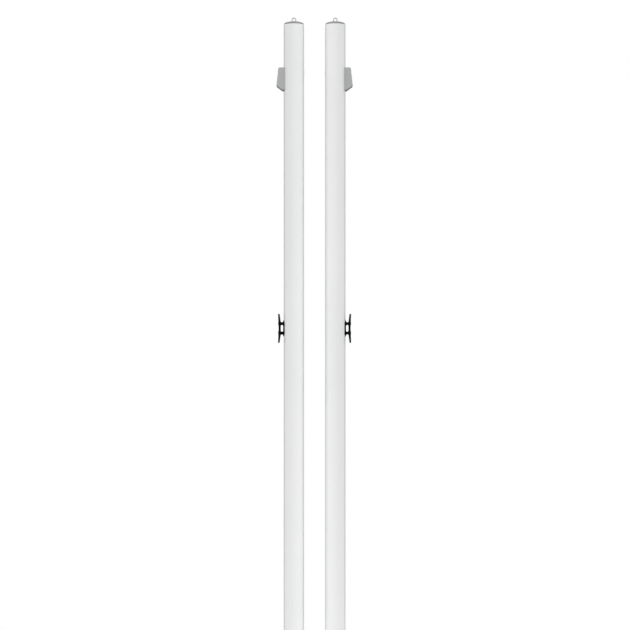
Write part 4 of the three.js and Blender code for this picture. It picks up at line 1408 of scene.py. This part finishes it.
# %% Finish on the inner pieces
for node, packed in frame["nodes"].items():
    if not packed.hide_render:
        packed.data.materials.clear()
        packed.data.materials.append(finishes[slot_of[node]])
        lit_with[node.split("_")[0]].objects.link(packed)
        print("kept as packed:", node)


# %% [markdown]
# ## The floor's finish
#
# The photograph is a cut-out on white. With no floor at all the posts would float, so a pale disc takes their
# shadow. A plain grey disc would show its rim in the views that look down. So its paint mixes into glowing
# white towards the rim, but only for rays from the camera and for reflections. The light that the disc throws
# back on the posts stays that of a real floor.

# %% Floor finish
FLOOR_RADIUS = 1.3
FLOOR_FADE = 0.5
FLOOR_SHOW_THROUGH = 0.45


def mixed_shaders(tree, share, first, second):
    """A surface between two others, by another node's share."""
    return through(tree, "ShaderNodeMixShader", {}, share, first, second)


floor_material = bpy.data.materials.new("pale_floor")
floor_material.use_nodes = True
tree = floor_material.node_tree
tree.nodes.clear()
place = tree.nodes.new("ShaderNodeTexCoord").outputs["Object"]
far = node_of(tree, "ShaderNodeVectorMath", {"operation": "LENGTH"})
tree.links.new(place, far.inputs[0])
fade = remapped(
    tree, far.outputs["Value"], FLOOR_SHOW_THROUGH, 1, from_low=FLOOR_FADE, from_high=FLOOR_RADIUS
)
speckle = noise(tree, place, scale=140, detail=3)
paint = blend_of(tree, remapped(tree, speckle, 0, 1), grey(0.76), grey(0.8))
matte = node_of(tree, "ShaderNodeBsdfDiffuse", Color=paint).outputs["BSDF"]
white = node_of(tree, "ShaderNodeEmission", Strength=1.0).outputs["Emission"]
ray = tree.nodes.new("ShaderNodeLightPath").outputs
seen_straight = combined(tree, "MAXIMUM", ray["Is Camera Ray"], ray["Is Transmission Ray"])
seen = combined(tree, "MAXIMUM", seen_straight, ray["Is Glossy Ray"])
surface = mixed_shaders(tree, combined(tree, "MULTIPLY", fade, seen), matte, white)
node_of(tree, "ShaderNodeOutputMaterial", Surface=surface)
print(f"floor finish: {len(tree.nodes)} nodes")

# %% [markdown]
# ## The floor
#
# One flat face with forty corners is enough, since nothing stands on its rim. It belongs to the stage and not
# to the part.

# %% Floor
rim_points = [(x, y, 0) for x, y in circle(0, 0, FLOOR_RADIUS)]
floor_mesh = bpy.data.meshes.new("floor")
floor_mesh.from_pydata(rim_points, [], [tuple(range(len(rim_points)))])
floor_mesh.materials.append(floor_material)
floor = new_object("floor", floor_mesh)
print(f"floor: {FLOOR_RADIUS} m in radius, fading from {FLOOR_FADE} m")

# %% [markdown]
# ## The sky
#
# A soft sky does most of the lighting, as a white tent does in a studio. It is darker below, where the tent
# is open, so the undersides of the hood and the cap fall into shade. The camera sees plain white all round.
#
# Reflections see the same white, apart from a dark patch at the back, which stands for the black cards that
# photographers put behind a white object. A white tube turns away at its edges and mirrors the cards there,
# which draws the thin grey line down both of its sides. Real cards could be modelled, but they would show in
# the views from behind, and a sky is seen alike from every side.

# %% Sky
SKY_ABOVE = 0.95
SKY_BELOW = 0.46
MIRRORED_DARK = 0.06

world = bpy.data.worlds.new("studio")
world.use_nodes = True
bpy.context.scene.world = world
sky = world.node_tree
sky.nodes.clear()
direction = sky.nodes.new("ShaderNodeTexCoord").outputs["Generated"]
looking = node_of(sky, "ShaderNodeSeparateXYZ", Vector=direction).outputs
in_front = remapped(sky, looking["Y"], 1, MIRRORED_DARK, from_low=0.35, from_high=0.75)
overhead = remapped(sky, looking["Z"], MIRRORED_DARK, 1, from_low=0.2, from_high=0.5)
level = remapped(sky, looking["Z"], SKY_BELOW, SKY_ABOVE, from_low=-0.15, from_high=0.15)
tent, mirrored, backdrop = [
    node_of(sky, "ShaderNodeBackground", Color=grey(1.0), Strength=strength).outputs["Background"]
    for strength in (level, combined(sky, "MAXIMUM", in_front, overhead), 1.0)
]
path = sky.nodes.new("ShaderNodeLightPath").outputs
straight = combined(sky, "MAXIMUM", path["Is Camera Ray"], path["Is Transmission Ray"])
lit = mixed_shaders(sky, path["Is Glossy Ray"], tent, mirrored)
node_of(sky, "ShaderNodeOutputWorld", Surface=mixed_shaders(sky, straight, lit, backdrop))
print(f"sky: {SKY_ABOVE} above, {SKY_BELOW} below, {MIRRORED_DARK} in the mirrored dark patch")

# %% [markdown]
# ## Lamps
#
# One broad soft lamp stands behind the camera. In the photograph each tube is a little brighter on the side
# that faces its neighbour, as if the picture of one post had been mirrored to make the other. No single lamp
# can light both that way. So each post has a soft lamp of its own on the far side of the other post, which is
# linked to that post alone. The lamps are hidden from reflections, because the mirrored sky already stands
# for them, and a lamp seen twice would draw a bright band down the middle of each tube.

# %% Lamps
FRONT_POWER = 36
FRONT_SIZE = 2.4
FRONT_PLACE = (0, -5.2, 2.5)
INNER_POWER = 14
INNER_SIZE = 1.6
INNER_ACROSS = {"left": 3.0, "right": -3.0}
INNER_Y = -1.0
INNER_Z = 0.9
LAMP_AIM = Vector((0, 0, 1.3))


def softbox(name, power, size, place, receivers=None):
    lamp_data = bpy.data.lights.new(name, "AREA")
    lamp_data.energy = power
    lamp_data.size = size
    lamp = new_object(name, lamp_data)
    lamp.location = place
    lamp.rotation_euler = (LAMP_AIM - Vector(place)).to_track_quat("-Z", "Y").to_euler()
    lamp.visible_camera = False
    lamp.visible_glossy = False
    if receivers is not None:
        lamp.light_linking.receiver_collection = receivers
    print(f"{name}: {power} W, {size} m across")


softbox("front_softbox", FRONT_POWER, FRONT_SIZE, FRONT_PLACE)
for post, across in INNER_ACROSS.items():
    softbox(f"softbox_for_{post}_post", INNER_POWER, INNER_SIZE, (across, INNER_Y, INNER_Z), lit_with[post])


# %% [markdown]
# ## Colours as they are
#
# Blender's usual view transform bends bright colours as film does, and turns white grey. A cut-out on white
# needs the plain one.

# %% View transform
bpy.context.scene.view_settings.view_transform = "Standard"
print("view transform:", bpy.context.scene.view_settings.view_transform)
